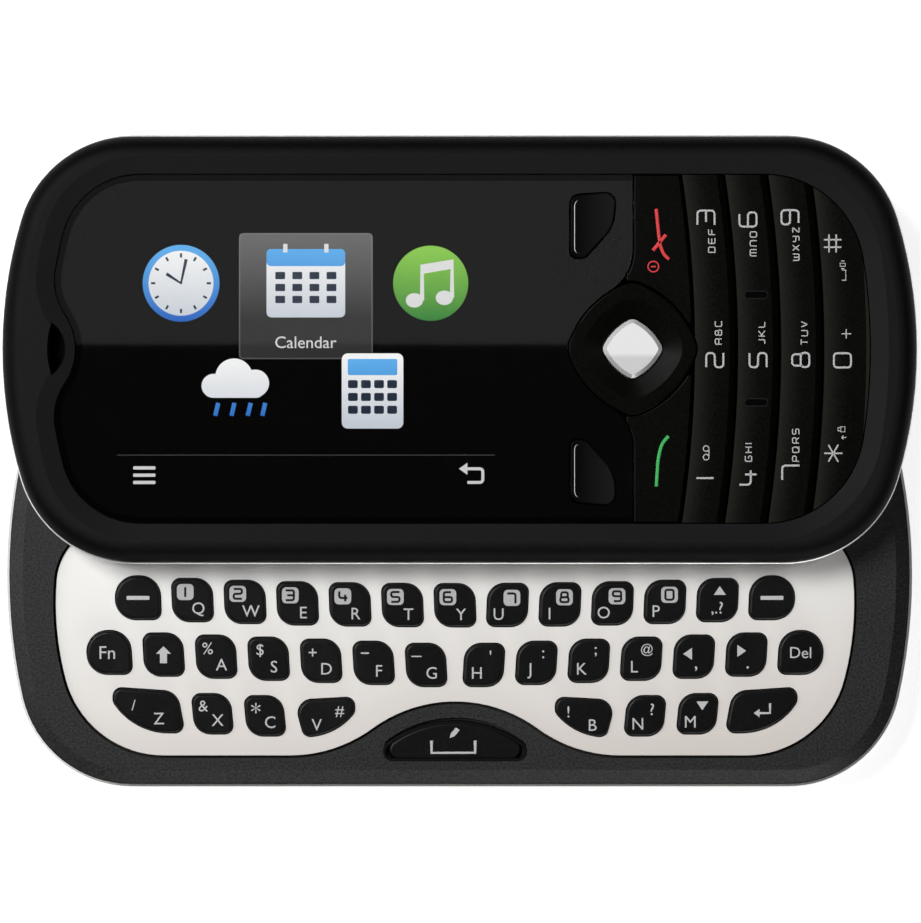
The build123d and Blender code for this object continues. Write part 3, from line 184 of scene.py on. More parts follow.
def handling_marks():
    """Mask of finger smears and fine dust where a hand has been."""
    group, given, result = effect("handling_marks", {"Amount": 0.5}, ("Mask",))
    place = surface(group)["Object"]
    turn = add_node(group, "Mapping", {"Vector": place, "Rotation": (0, 0, radians(35)),
                                       "Scale": (1.0, 0.35, 1.0)})
    smear = span(group, noise(group, turn.outputs["Vector"], 160.0, 5.0, 0.6), 0.52, 0.72)
    dust = span(group, noise(group, place, 2600.0, 1.0, 0.4), 0.7, 0.78)
    both = plus(group, arith(group, "MULTIPLY", smear, 0.8), dust, 0.35)
    feed(group, result, {"Mask": arith(group, "MULTIPLY", both, given["Amount"])})
    return group


def brushed_lines():
    """Long fine scratches along X, as rolled or brushed metal has."""
    group, given, result = effect("brushed_lines", {"Fineness": 3000.0}, ("Height", "Roughness"))
    stretch = add_node(group, "Mapping", {"Vector": surface(group)["Object"], "Scale": (0.02, 1.0, 1.0)})
    lines = noise(group, stretch.outputs["Vector"], given["Fineness"], 3.0, 0.6)
    feed(group, result, {"Height": lines, "Roughness": span(group, lines, 0.3, 0.7, 0.22, 0.42)})
    return group


GRAIN = moulded_grain()
MARKS = handling_marks()
LINES = brushed_lines()


# Finishes

def bare_finish(name, metallic=0.0, specular=0.5, coat=0.0, coat_roughness=0.1):
    """A new material with its shader's steady values set."""
    material = bpy.data.materials.new(name)
    material.use_nodes = True
    tree = material.node_tree
    steady = {"Metallic": metallic, "Specular IOR Level": specular, "Coat Weight": coat,
              "Coat Roughness": coat_roughness}
    return material, tree, feed(tree, tree.nodes["Principled BSDF"], steady)


def place_effect(tree, group, **values):
    """An effect in a material, with the material's own values."""
    given = {label.capitalize(): value for label, value in values.items()}
    return add_node(tree, "Group", given, node_tree=group)


def blend_colours(tree, mask, low, high):
    """Colour between two tones by a mask; each tone is a colour or a socket."""
    tones = {"Factor": mask, COLOUR_A: low, COLOUR_B: high}
    return add_node(tree, "Mix", tones, data_type="RGBA").outputs[COLOUR_OUT]


def speckled(tree, mask, grain, share):
    """A mask that the grain's specks make a little uneven."""
    return plus(tree, mask, arith(tree, "SUBTRACT", grain.outputs["Speck"], 0.5), share)


def emboss(tree, shader, height, depth):
    """Bump on a shader; depth is the height of the relief in millimetres."""
    bump = add_node(tree, "Bump", {"Height": height, "Strength": 1.0, "Distance": depth * MM})
    feed(tree, shader, {"Normal": bump.outputs["Normal"]})


def dress(tree, shader, colour, grain, worn=None, dulled=0.15, depth=0.0):
    """Give a shader its colour and its grain's roughness and relief, duller where hands wear it."""
    rough = grain.outputs["Roughness"]
    if worn is not None:
        rough = plus(tree, rough, worn.outputs["Mask"], dulled)
    feed(tree, shader, {"Base Color": colour, "Roughness": rough})
    if depth:
        emboss(tree, shader, grain.outputs["Height"], depth)


def moulded(name, low, high, smooth, rough, fineness, depth, marks, **shine):
    """Moulded plastic: two near tones, tooled grain, and marks from handling."""
    material, tree, shader = bare_finish(name, **shine)
    grain = place_effect(tree, GRAIN, fineness=fineness, smoothest=smooth, roughest=rough)
    worn = place_effect(tree, MARKS, amount=marks)
    drift = noise(tree, surface(tree)["Object"], 60.0)
    mix = plus(tree, arith(tree, "MULTIPLY", grain.outputs["Speck"], 0.65), drift, 0.35)
    dress(tree, shader, blend_colours(tree, mix, low, high), grain, worn, 0.18, depth)
    return material


def print_ink(name, low, high, specular=0.2):
    """Flat ink of the printing on the keys."""
    return moulded(name, low, high, 0.5, 0.6, 5200.0, 0.002, 0.3, specular=specular)


def metal(name, low, high, depth=0.002, metallic=1.0, fineness=3000.0):
    """Rolled or brushed metal, with faint stains."""
    material, tree, shader = bare_finish(name, metallic=metallic)
    lines = place_effect(tree, LINES, fineness=fineness)
    worn = place_effect(tree, MARKS, amount=0.6)
    dress(tree, shader, blend_colours(tree, worn.outputs["Mask"], high, low), lines, worn, depth=depth)
    return material


def pale_panel():
    """Gloss-coated cream keyboard panel, with painted shade: warmer and darker low down and towards the
    number keys.
    """
    material, tree, shader = bare_finish("pale_panel_painted_shade", coat=0.6, coat_roughness=0.08)
    place = surface(tree)["Object"]
    parts = parts_of(tree, place)
    # Painted shade: darker and warmer low down and towards the number keys, with a faint random drift
    slope = plus(tree, parts["Y"], parts["X"], -0.12)
    shade_and_drift = plus(tree, slope, noise(tree, place, 35.0, 2.0), 0.006)
    colour = blend_colours(tree, span(tree, shade_and_drift, -0.022, 0.004), tone(221, 213, 207), tone(239, 238, 235))
    grain = place_effect(tree, GRAIN, fineness=2500.0, smoothest=0.3, roughest=0.42)
    dress(tree, shader, colour, grain, place_effect(tree, MARKS, amount=0.35), 0.2, 0.002)
    return material


def solder_mask():
    """Green circuit board with copper runs under the lacquer and tinned pads."""
    material, tree, shader = bare_finish("green_solder_mask", coat=0.3)
    place = surface(tree)["Object"]
    dots = add_node(tree, "TexVoronoi", {"Vector": place, "Scale": 420.0}, distance="CHEBYCHEV")
    rows = add_node(tree, "TexWave", {"Vector": place, "Scale": 260.0, "Distortion": 2.0})
    copper = span(tree, rows.outputs["Fac"], 0.55, 0.62)
    pads = span(tree, dots.outputs["Distance"], 0.16, 0.12)
    base = blend_colours(tree, copper, tone(18, 74, 44), tone(36, 104, 62))
    feed(tree, shader, {"Base Color": blend_colours(tree, pads, base, tone(196, 190, 170)),
                        "Metallic": pads, "Roughness": span(tree, copper, 0.0, 1.0, 0.38, 0.28)})
    emboss(tree, shader, arith(tree, "ADD", copper, pads), 0.02)
    return material


def bezel_black():
    """Matt black of the bezel, with painted shade: darker on the outer slope than on the one that faces the
    window.
    """
    material, tree, shader = bare_finish("matt_black_bezel_painted_shade", specular=0.05)
    skin = surface(tree)
    outward = add_node(tree, "Mapping", {"Vector": skin["Object"], "Location": (0, -SLIDER_Y * MM, 0),
                                         "Scale": (0.2, 1.0, 0.0)})
    unit = add_node(tree, "VectorMath", {0: outward.outputs["Vector"]}, operation="NORMALIZE")
    lean = add_node(tree, "VectorMath", {0: unit.outputs["Vector"], 1: skin["Normal"]},
                    operation="DOT_PRODUCT")
    # Painted shade: faces that lean outward are darker, those that face the window paler
    shade = span(tree, lean.outputs["Value"], 0.5, -0.06)
    grain = place_effect(tree, GRAIN, fineness=5200.0, smoothest=0.5, roughest=0.62)
    colour = blend_colours(tree, speckled(tree, shade, grain, 0.3), grey(3), grey(26))
    dress(tree, shader, colour, grain, place_effect(tree, MARKS, amount=0.35), depth=0.006)
    return material


def bar_black():
    """Olive black of the number bars, with a painted highlight: each bar's left edge is lighter and fades to
    the right.
    """
    material, tree, shader = bare_finish("olive_black_bar_painted_highlight", specular=0.06)
    parts = parts_of(tree, surface(tree)["Object"])
    up = arith(tree, "SUBTRACT", parts["Y"], SLIDER_Y * MM)
    sag = arith(tree, "DIVIDE", arith(tree, "MULTIPLY", up, up), 2 * BAR_BOW_R * MM)
    across = arith(tree, "SUBTRACT", arith(tree, "ADD", parts["X"], sag), FIRST_BAR_X * MM)
    share = arith(tree, "FRACT", arith(tree, "DIVIDE", across, BAR_PITCH * MM))
    on_bar = arith(tree, "GREATER_THAN", across, 0.0)
    # Painted highlight: lighter at each bar's left edge, fading to the right
    fade = arith(tree, "MULTIPLY", arith(tree, "POWER", span(tree, share, 0.03, 0.75, 1.0, 0.0), 2.2), on_bar)
    grain = place_effect(tree, GRAIN, fineness=4200.0, smoothest=0.34, roughest=0.46)
    colour = blend_colours(tree, speckled(tree, fade, grain, 0.15), tone(3, 3, 2), tone(33, 34, 29))
    dress(tree, shader, colour, grain, place_effect(tree, MARKS, amount=0.45), depth=0.003)
    return material


def soft_key_edge():
    """Black gloss edge of a soft key, with a painted highlight: a pale gleam along the side that faces the
    left end.
    """
    material, tree, shader = bare_finish("soft_key_edge_painted_highlight", specular=0.05)
    # Painted highlight on the faces that lean towards the left end
    gleam = span(tree, parts_of(tree, surface(tree)["Normal"])["X"], -0.3, -0.6)
    grain = place_effect(tree, GRAIN, fineness=3600.0, smoothest=0.2, roughest=0.3)
    dress(tree, shader, blend_colours(tree, speckled(tree, gleam, grain, 0.1), grey(2), grey(225)), grain)
    return material


def soft_key_black():
    """Gloss black of the soft keys, with a painted sheen: paler towards the number keys."""
    material, tree, shader = bare_finish("gloss_black_soft_key", specular=0.045)
    across = parts_of(tree, surface(tree)["Object"])["X"]
    # Painted sheen: paler towards the number keys
    fade = span(tree, across, (SOFT_KEY_GLEAM_X - 0.6) * MM, (SOFT_KEY_GLEAM_X + 4) * MM)
    grain = place_effect(tree, GRAIN, fineness=3600.0, smoothest=0.34, roughest=0.44)
    dress(tree, shader, blend_colours(tree, speckled(tree, fade, grain, 0.1), grey(1), grey(25)), grain)
    return material


def grained_frame():
    """Dark grained plastic of the frame, with painted shade: darker on the bevel at the number key end."""
    material, tree, shader = bare_finish("dark_grained_frame_painted_shade", specular=0.25)
    skin = surface(tree)
    grain = place_effect(tree, GRAIN, fineness=4200.0, smoothest=0.42, roughest=0.6)
    mix = plus(tree, arith(tree, "MULTIPLY", grain.outputs["Speck"], 0.75),
               noise(tree, skin["Object"], 60.0), 0.25)
    # Painted shade on faces that lean towards the number key end
    painted_side_shade = span(tree, parts_of(tree, skin["Normal"])["X"], 0.1, 0.4, 0.0, 0.45)
    colour = blend_colours(tree, arith(tree, "SUBTRACT", mix, painted_side_shade), grey(5), grey(46))
    dress(tree, shader, colour, grain, place_effect(tree, MARKS, amount=0.3), 0.18, 0.02)
    return material


def button_silver():
    """Pearl silver of the middle button, with painted shade: darker towards the keyboard side and on its
    bevel.
    """
    material, tree, shader = bare_finish("pearl_silver_button_painted_shade", metallic=0.12, coat=0.4)
    skin = surface(tree)
    # Painted shade: darker on the half towards the keyboard and on the bevel
    low = span(tree, parts_of(tree, skin["Object"])["Y"],
               (SLIDER_Y - 0.5) * MM, (SLIDER_Y - 1.1) * MM, 0.0, 0.42)
    bevel = span(tree, parts_of(tree, skin["Normal"])["Z"], 0.97, 0.8, 0.0, 0.58)
    grain = place_effect(tree, GRAIN, fineness=3800.0, smoothest=0.24, roughest=0.28)
    shade = speckled(tree, arith(tree, "ADD", low, bevel), grain, 0.06)
    dress(tree, shader, blend_colours(tree, shade, grey(246), grey(168)), grain)
    return material


def clear_window():
    """Clear glossy window, a little smeared."""
    material, tree, shader = bare_finish("clear_window_plastic")
    worn = place_effect(tree, MARKS, amount=1.0)
    feed(tree, shader, {"Transmission Weight": 1.0, "IOR": 1.49, "Base Color": (1, 1, 1, 1),
                        "Roughness": span(tree, worn.outputs["Mask"], 0.0, 1.0, 0.016, 0.018)})
    return material


def lit(name, upper, lower, top, bottom):
    """Backlit colour on the display, running from one tone at the top to another below."""
    material, tree, shader = bare_finish(name, specular=0.2)
    place = surface(tree)["Object"]
    fade = span(tree, parts_of(tree, place)["Y"], (SCREEN_Y + bottom) * MM, (SCREEN_Y + top) * MM)
    uneven = plus(tree, fade, noise(tree, place, 900.0, 1.0), 0.05)
    feed(tree, shader, {"Base Color": grey(8), "Roughness": 0.4, "Emission Strength": 1.0,
                        "Emission Color": blend_colours(tree, uneven, lower, upper)})
    return material


# The values of a moulded finish: two tones, smoothest, roughest, fineness, relief and marks
finishes = {
    "white_housing": moulded("gloss_white_shell", tone(226, 225, 222), tone(238, 237, 234), 0.2, 0.3,
                             2600.0, 0.002, 0.5, coat=0.4),
    "battery_wrap": moulded("battery_wrap_film", grey(66), grey(84), 0.3, 0.5, 1500.0, 0.01, 0.6),
    "circuit_board": solder_mask(),
    "dark_frame": grained_frame(),
    "keyboard_panel": pale_panel(),
    "dark_key": moulded("dark_satin_key", grey(5), grey(11), 0.3, 0.42, 4200.0, 0.003, 0.5, specular=0.17),
    "slide_steel": metal("rolled_slide_steel", grey(150), grey(190)),
    "silver_rim": metal("silver_rim_paint", grey(186), grey(214), 0.001, 0.25, 1800.0),
    "matt_bezel": bezel_black(),
    "window": clear_window(),
    "display": moulded("display_glass", grey(1), grey(3), 0.3, 0.4, 1500.0, 0.0001, 0.2, specular=0.0),
    "gloss_key": moulded("gloss_black_key", tone(3, 3, 2), tone(8, 8, 6), 0.34, 0.44, 3600.0, 0.002, 0.5,
                         specular=0.045),
    "number_bar": bar_black(),
    "silver_button": button_silver(),
}
key_print = print_ink("grey_key_print", grey(178), grey(194))
tile_print = print_ink("grey_tile_print", grey(166), grey(184))
# Black print, also used as painted shade round the guide nibs
black_print_and_shade = print_ink("black_print_and_shade", grey(3), grey(8))
red_print = print_ink("red_end_print", tone(205, 44, 50), tone(220, 56, 60), 0.5)
green_print = print_ink("green_call_print", tone(44, 168, 80), tone(56, 186, 94), 0.5)
border_ink = moulded("window_border_ink", grey(1), grey(3), 0.5, 0.6, 4200.0, 0.0001, 0.2, specular=0.0)
bead_paint = moulded("silver_bead_paint", grey(226), grey(244), 0.3, 0.4, 2600.0, 0.0005, 0.3,
                     metallic=0.7)
gauze = moulded("black_gauze", grey(1), grey(7), 0.6, 0.75, 7000.0, 0.05, 0.2, specular=0.05)
nib_plastic = moulded("nib_plastic", grey(1), grey(3), 0.3, 0.4, 3600.0, 0.002, 0.4, specular=0.04)
soft_key_sheen = soft_key_black()
soft_edge_highlight = soft_key_edge()
# Black of the keypad mats, also used as painted shade in the frame joint and round the space key's well
black_mat_and_shade = moulded("black_silicone_mat_and_shade", grey(3), grey(7), 0.6, 0.75, 3000.0, 0.01, 0.3, specular=0.1)

for row in frame["record"]["subparts"]:
    cad_piece = nodes[row["node"]]
    finish = soft_key_sheen if row["node"].startswith("soft_key") else finishes[row["material_slot"]]
    if not cad_piece.material_slots:
        cad_piece.data.materials.append(None)
    for material_slot in cad_piece.material_slots:
        material_slot.material = finish


# Making helpers

def finished(piece, name, material, body, slot):
    """Name a piece, give it its finish and let it ride on a body."""
    piece.name = name
    piece.data.name = name
    piece.data.materials.clear()
    piece.data.materials.append(material)
    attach(piece, body)
    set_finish(piece, slot)
    return piece


def top_of(node):
    """Height of a CAD node's top, in millimetres."""
    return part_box(node)[1].z / MM


def new_object(name, data):
    piece = bpy.data.objects.new(name, data)
    bpy.context.scene.collection.objects.link(piece)
    return piece


def only(*pieces):
    """Select these pieces alone, the first of them active."""
    bpy.ops.object.select_all(action="DESELECT")
    for piece in pieces:
        piece.select_set(True)
    bpy.context.view_layer.objects.active = pieces[0]


def edit(selected="SELECT"):
    """Edit mode for the active piece, with all or none of it selected, or what it has if AS_IS."""
    bpy.ops.object.mode_set(mode="EDIT")
    if selected != "AS_IS":
        bpy.ops.mesh.select_all(action=selected)


def leave_edit():
    bpy.ops.object.mode_set(mode="OBJECT")


def select_by(corner_edge_face):
    """What edit mode selects: corners, edges or faces."""
    bpy.context.tool_settings.mesh_select_mode = [kind == corner_edge_face
                                                  for kind in ("corners", "edges", "faces")]


def shift(piece, x, y, z):
    """Move a piece's mesh from the origin to its place, in millimetres."""
    piece.data.transform(Matrix.Translation(Vector((x, y, z)) * MM))
    return piece


def settle(piece, x, y, z, turned=False):
    """Centre a flat mesh on a place, its middle height at z; turned ones read along Y."""
    bpy.context.view_layer.update()
    corners = [Vector(v.co) for v in piece.data.vertices]
    low = Vector([min(c[i] for c in corners) for i in range(3)])
    high = Vector([max(c[i] for c in corners) for i in range(3)])
    step = Matrix.Translation(-(low + high) / 2)
    if turned:
        step = Matrix.Rotation(radians(90), 4, "Z") @ step
    piece.data.transform(Matrix.Translation(Vector((x, y, z)) * MM) @ step)
    return piece


def meshed(piece):
    """Turn a text or curve into a mesh that stands at the origin."""
    only(piece)
    bpy.ops.object.convert(target="MESH")
    return bpy.context.view_layer.objects.active


def joined(pieces):
    """Join meshes of one finish into one."""
    only(*pieces)
    if len(pieces) > 1:
        bpy.ops.object.join()
    return bpy.context.view_layer.objects.active


def lettering(text, cap, x, y, z):
    """Plain sans lettering, flat and raised by the thickness of print."""
    bpy.ops.object.text_add()
    piece = bpy.context.object
    piece.data.body = text
    piece.data.size = cap * MM / CAP_SHARE
    piece.data.extrude = PRINT_THICK / 2 * MM
    piece.data.resolution_u = 3
    return settle(meshed(piece), x, y, z)


def rounded(points, radius, closed=False):
    """A run of straight strokes with its corners rounded off."""
    count = len(points)
    run = []
    for index, point in enumerate(points):
        here = Vector(point)
        if not closed and index in (0, count - 1):
            run.append(here)
            continue
        before = Vector(points[index - 1]) - here
        after = Vector(points[(index + 1) % count]) - here
        reach = min(radius, before.length / 2, after.length / 2)
        start = here + before.normalized() * reach
        end = here + after.normalized() * reach
        for share in (0.0, 0.25, 0.5, 0.75, 1.0):
            run.append(start * (1 - share) ** 2 + here * (2 * share * (1 - share)) + end * share**2)
    return run


def round_run(radius, count, x=0.0, y=0.0):
    """Points round a circle."""
    return [(x + radius * cos(2 * pi * i / count), y + radius * sin(2 * pi * i / count))
            for i in range(count)]


def drawn(name, runs, scale=1.0, corner=0.0, **looks):
    """A new curve of runs, each (points, closed), in millimetres times scale."""
    curve = bpy.data.curves.new(name, "CURVE")
    for label, value in looks.items():
        setattr(curve, label, value)
    for points, closed in runs:
        line = rounded(points, corner, closed) if corner else [Vector(p) for p in points]
        spline = curve.splines.new("POLY")
        spline.points.add(len(line) - 1)
        for knot, point in zip(spline.points, line):
            knot.co = (point.x * scale * MM, point.y * scale * MM, 0, 1)
        spline.use_cyclic_u = closed
    return new_object(name, curve)


def strokes(runs, width, x=None, y=None, z=0.0, turned=False, scale=1.0, corner=0.0):
    """Flat printed strokes, centred on x and y where these are given."""
    piece = meshed(drawn("stroke", runs, scale, corner, dimensions="3D", bevel_depth=width / 2 * MM,
                         bevel_resolution=1, use_fill_caps=True))
    piece.data.transform(Matrix.Diagonal((1, 1, PRINT_THICK / width, 1)))
    if x is not None:
        return settle(piece, x, y, z, turned)
    piece.data.transform(Matrix.Translation((0, 0, z * MM)))
    return piece


def cut_shape(points, x, y, z, corner=0.0):
    """Flat printed shape with a closed outline, its middle height at z."""
    piece = meshed(drawn("shape", [(points, True)], corner=corner, dimensions="2D", fill_mode="BOTH",
                         extrude=PRINT_THICK / 2 * MM))
    return shift(piece, x, y, z)


def plate(length, width, corner, x, y, z, thick=PRINT_THICK):
    """Thin plate with round corners, its middle height at z."""
    bpy.ops.mesh.primitive_plane_add(size=1)
    piece = bpy.context.object
    piece.scale = (length * MM, width * MM, 1)
    bpy.ops.object.transform_apply(location=False, rotation=False, scale=True)
    edit()
    bpy.ops.mesh.bevel(offset=corner * MM, segments=5, affect="VERTICES")
    bpy.ops.mesh.select_all(action="SELECT")
    bpy.ops.mesh.extrude_region_move(TRANSFORM_OT_translate={"value": (0, 0, thick * MM)})
    bpy.ops.mesh.select_all(action="SELECT")
    bpy.ops.mesh.normals_make_consistent(inside=False)
    leave_edit()
    return shift(piece, x, y, z - thick / 2)


def disc(radius, x, y, z, thick=PRINT_THICK):
    """Thin round plate, its middle height at z."""
    bpy.ops.mesh.primitive_cylinder_add(vertices=48, radius=radius * MM, depth=thick * MM)
    piece = bpy.context.object
    edit()
    bpy.ops.mesh.bevel(offset=min(thick / 3, 0.01) * MM, segments=1)
    leave_edit()
    return shift(piece, x, y, z)


# Share of a text's size that its capitals are high
bpy.ops.object.select_all(action="DESELECT")
bpy.ops.object.text_add()
sample = bpy.context.object
sample.data.body = "H"
bpy.context.view_layer.update()
CAP_SHARE = sample.dimensions.y / sample.data.size
bpy.data.objects.remove(sample)

# Squared stroke lettering on a grid 5 wide and 6 high; a run marked True is closed
BOX = [(0, 0), (0, 6), (5, 6), (5, 0)]
GLYPHS = {
    "0": [(BOX, True)],
    "1": [([(0, 6), (0, 0)], False)],
    "2": [([(0, 6), (5, 6), (5, 3), (0, 3), (0, 0), (5, 0)], False)],
    "3": [([(0, 6), (5, 6), (5, 0), (0, 0)], False), ([(1, 3), (4.9, 3)], False)],
    "4": [([(0, 6), (0, 2), (5, 2)], False), ([(3.6, 4), (3.6, 0)], False)],
    "5": [([(5, 6), (0, 6), (0, 3), (5, 3), (5, 0), (0, 0)], False)],
    "6": [([(4.4, 6), (0, 6), (0, 0), (5, 0), (5, 3), (0, 3)], False)],
    "7": [([(0, 6), (5, 6), (5, 0)], False)],
    "8": [([(0, 0), (5, 0), (5, 3), (0, 3)], True), ([(0.5, 2.4), (0.5, 6), (4.5, 6), (4.5, 2.4)], False)],
    "9": [([(5, 3), (0, 3), (0, 6), (5, 6), (5, 0), (0.6, 0)], False)],
    "A": [([(0, 0), (0, 6), (5, 6), (5, 0)], False), ([(0, 2.6), (5, 2.6)], False)],
    "B": [([(0, 0), (5, 0), (5, 3), (0, 3)], True), ([(0.2, 2.4), (0.2, 6), (4.3, 6), (4.3, 2.4)], False)],
    "C": [([(5, 6), (0, 6), (0, 0), (5, 0)], False)],
    "D": [([(0, 6), (0, 0)], False), ([(-0.5, 6), (5, 6), (5, 0), (-0.5, 0)], False)],
    "E": [([(5, 6), (0, 6), (0, 0), (5, 0)], False), ([(0, 3), (4.6, 3)], False)],
    "F": [([(5, 6), (0, 6), (0, 0)], False), ([(0, 3), (4.6, 3)], False)],
    "G": [([(5, 6), (0, 6), (0, 0), (5, 0), (5, 3), (2.6, 3)], False)],
    "H": [([(0, 6), (0, 0)], False), ([(5, 6), (5, 0)], False), ([(0, 3), (5, 3)], False)],
    "I": [([(0, 6), (0, 0)], False)],
    "J": [([(4, 6), (4, 0), (0, 0)], False)],
    "K": [([(0, 6), (0, 0)], False), ([(5, 6), (1, 3), (5, 0)], False), ([(0, 3), (1, 3)], False)],
    "L": [([(0, 6), (0, 0), (5, 0)], False)],
    "M": [([(0, 0), (0, 6), (6, 6), (6, 0)], False), ([(3, 6), (3, 0)], False)],
    "N": [([(0, 0), (0, 6), (5, 6), (5, 0)], False)],
    "O": [(BOX, True)],
    "P": [([(0, 0), (0, 6), (5, 6), (5, 2.6), (0, 2.6)], False)],
    "Q": [(BOX, True), ([(3.4, 1.6), (5.4, -0.4)], False)],
    "R": [([(0, 0), (0, 6), (5, 6), (5, 2.6), (0, 2.6)], False), ([(3, 2.6), (5, 0)], False)],
    "S": [([(5, 6), (0, 6), (0, 3), (5, 3), (5, 0), (0, 0)], False)],
    "T": [([(0, 6), (5, 6)], False), ([(2.5, 6), (2.5, 0)], False)],
    "U": [([(0, 6), (0, 0), (5, 0), (5, 6)], False)],
    "V": [([(0, 6), (2.5, 0), (5, 6)], False)],
    "W": [([(0, 6), (0, 0), (6, 0), (6, 6)], False), ([(3, 0), (3, 5)], False)],
    "X": [([(0, 6), (5, 0)], False), ([(0, 0), (5, 6)], False)],
    "Y": [([(0, 6), (0, 3), (5, 3)], False), ([(5, 6), (5, 0), (1, 0)], False)],
    "Z": [([(0, 6), (5, 6), (0, 0), (5, 0)], False)],
    "#": [([(1.6, 0.3), (1.6, 5.7)], False), ([(3.9, 0.3), (3.9, 5.7)], False),
          ([(0, 1.9), (5.5, 1.9)], False), ([(0, 4.1), (5.5, 4.1)], False)],
    "*": [([(3, 0.2), (3, 5.8)], False), ([(0.4, 1.5), (5.6, 4.5)], False),
          ([(0.4, 4.5), (5.6, 1.5)], False)],
    "+": [([(0, 3), (6, 3)], False), ([(3, 0), (3, 6)], False)],
}
GLYPH_SPACE = 3.4
GLYPH_CORNER = 1.35


def stroked(text, cap, width, x, y, z, turned=True):
    """A word or figure in squared stroke lettering, its overall height cap."""
    runs = []
    start = 0.0
    for letter in text:
        glyph = GLYPHS[letter]
        for points, closed in glyph:
            runs.append(([(px + start, py) for px, py in points], closed))
        start += max(px for points, _ in glyph for px, _ in points) + GLYPH_SPACE
    return strokes(runs, width, x, y, z, turned, (cap - width) / 6, GLYPH_CORNER)


# Number pad: figures, words and signs on the bars
def slider_place(across, up):
    """A place on the top half from its middle line, as the open phone stands."""
    return across, SLIDER_Y + up


pad_top = top_of("key_bar_456")
SIGN_LOOK = (FIGURE_CAP * 1.1, FIGURE_STROKE * 0.8)
PAD_LOOKS = {"#": SIGN_LOOK, "*": SIGN_LOOK, "+": (1.25, WORD_STROKE)}
PAD_WORDS = {
    "key_bar_123": [("3", 28.79, 15.37), ("2", 29.82, -1.33), ("1", 28.67, -15.1),
                    ("DEF", 29.46, 12.57), ("ABC", 30.24, 1.85)],
    "key_bar_456": [("6", 33.69, 15.1), ("5", 34.87, -1.33), ("4", 33.68, -15.1),
                    ("MNO", 34.32, 12.25), ("JKL", 35.29, 1.85), ("GHI", 33.75, -12.1)],
    "key_bar_789": [("9", 38.6, 15.35), ("8", 39.85, -1.3), ("7", 38.62, -14.4),
                    ("WXYZ", 39.28, 12.21), ("TUV", 40.27, 1.85), ("PQRS", 39.28, -11.25)],
    "key_bar_star_0_hash": [("#", 43.57, 12.3), ("0", 44.72, -1.35), ("*", 43.65, -12.2),
                            ("+", 45.16, 1.75)],
}
TAPE = [(round_run(0.33, 12), True), (round_run(0.33, 12, 1.0), True), ([(0, -0.33), (1.0, -0.33)], False)]
SPACE_SIGN = [([(0, 0.45), (0, 0), (1.2, 0), (1.2, 0.45)], False)]
LOCK = [([(0, 0), (0, 0.48), (0.6, 0.48), (0.6, 0)], True),
        ([(0.12, 0.48), (0.12, 0.8), (0.48, 0.8), (0.48, 0.48)], False)]
ARROW = [([(0, 0), (0, 0.55)], False), ([(-0.2, 0.33), (0, 0.55), (0.2, 0.33)], False)]
BUZZ = [([(0, 0), (0, 0.6), (0.36, 0.6), (0.36, 0)], True), ([(-0.27, 0.1), (-0.27, 0.5)], False),
        ([(0.63, 0.1), (0.63, 0.5)], False)]
PAD_SIGNS = {
    "key_bar_123": [(TAPE, WORD_STROKE, 28.8, -12.15)],
    "key_bar_star_0_hash": [(SPACE_SIGN, WORD_STROKE, 44.9, 8.6), (LOCK, SIGN_STROKE, 44.6, -9.4),
                            (ARROW, SIGN_STROKE, 44.85, -10.35), (BUZZ, 0.12, 44.75, 9.8)],
}
for bar, words in PAD_WORDS.items():
    printed = []
    for text, x, y in words:
        plain_look = (FIGURE_CAP, FIGURE_STROKE) if text.isdigit() else (WORD_CAP, WORD_STROKE)
        printed.append(stroked(text, *PAD_LOOKS.get(text, plain_look), *slider_place(x, y), pad_top))
    for runs, width, x, y in PAD_SIGNS.get(bar, []):
        printed.append(strokes(runs, width, *slider_place(x, y), pad_top, True))
    finished(joined(printed), "print_" + bar, key_print, bar, "number_bar")

# Nibs that guide the thumb, and dark plates under them: painted shade round the nibs' feet
NIB_X = 34.6
nib_pieces = []
nib_foot_shades = []
for nib_y in (6.3, -6.25):
    nib_foot_shades.append(plate(2.9, 1.0, 0.48, *slider_place(NIB_X, nib_y), pad_top))
    nib_pieces.append(plate(2.6, 0.72, 0.34, *slider_place(NIB_X, nib_y), pad_top + 0.04, 0.24))
    edit()
    bpy.ops.mesh.bevel(offset=0.08 * MM, segments=2, affect="EDGES")
    leave_edit()
finished(joined(nib_pieces), "guide_nibs", nib_plastic, "key_bar_456", "number_bar")
finished(joined(nib_foot_shades), "nib_foot_shades", black_print_and_shade, "key_bar_456", "number_bar")

# Call and end marks
strip_top = top_of("call_key")
green_run, red_run, cross_run = ([slider_place(*point) for point in run] for run in (
    [(22.99, -16.05), (23.2, -12.7), (23.65, -11.05), (24.4, -10.2)],
    [(22.98, 16.34), (23.26, 13.46), (23.43, 12.08), (23.86, 11.02), (24.47, 10.47)],
    [(24.1, 13.31), (22.6, 11.48)],
))
call_mark = strokes([(green_run, False)], 0.4, z=strip_top, corner=1.5)
finished(call_mark, "print_call", green_print, "call_key", "number_bar")
end_mark = strokes([(red_run, False), (cross_run, False)], 0.42, z=strip_top, corner=1.2)
power = round_run(0.62, 24, *slider_place(22.64, 9.6))
dash = [slider_place(22.34, 9.6), slider_place(22.94, 9.6)]
power_mark = strokes([(power, True), (dash, False)], 0.17, z=strip_top)
finished(joined([end_mark, power_mark]), "print_end", red_print, "end_key", "number_bar")

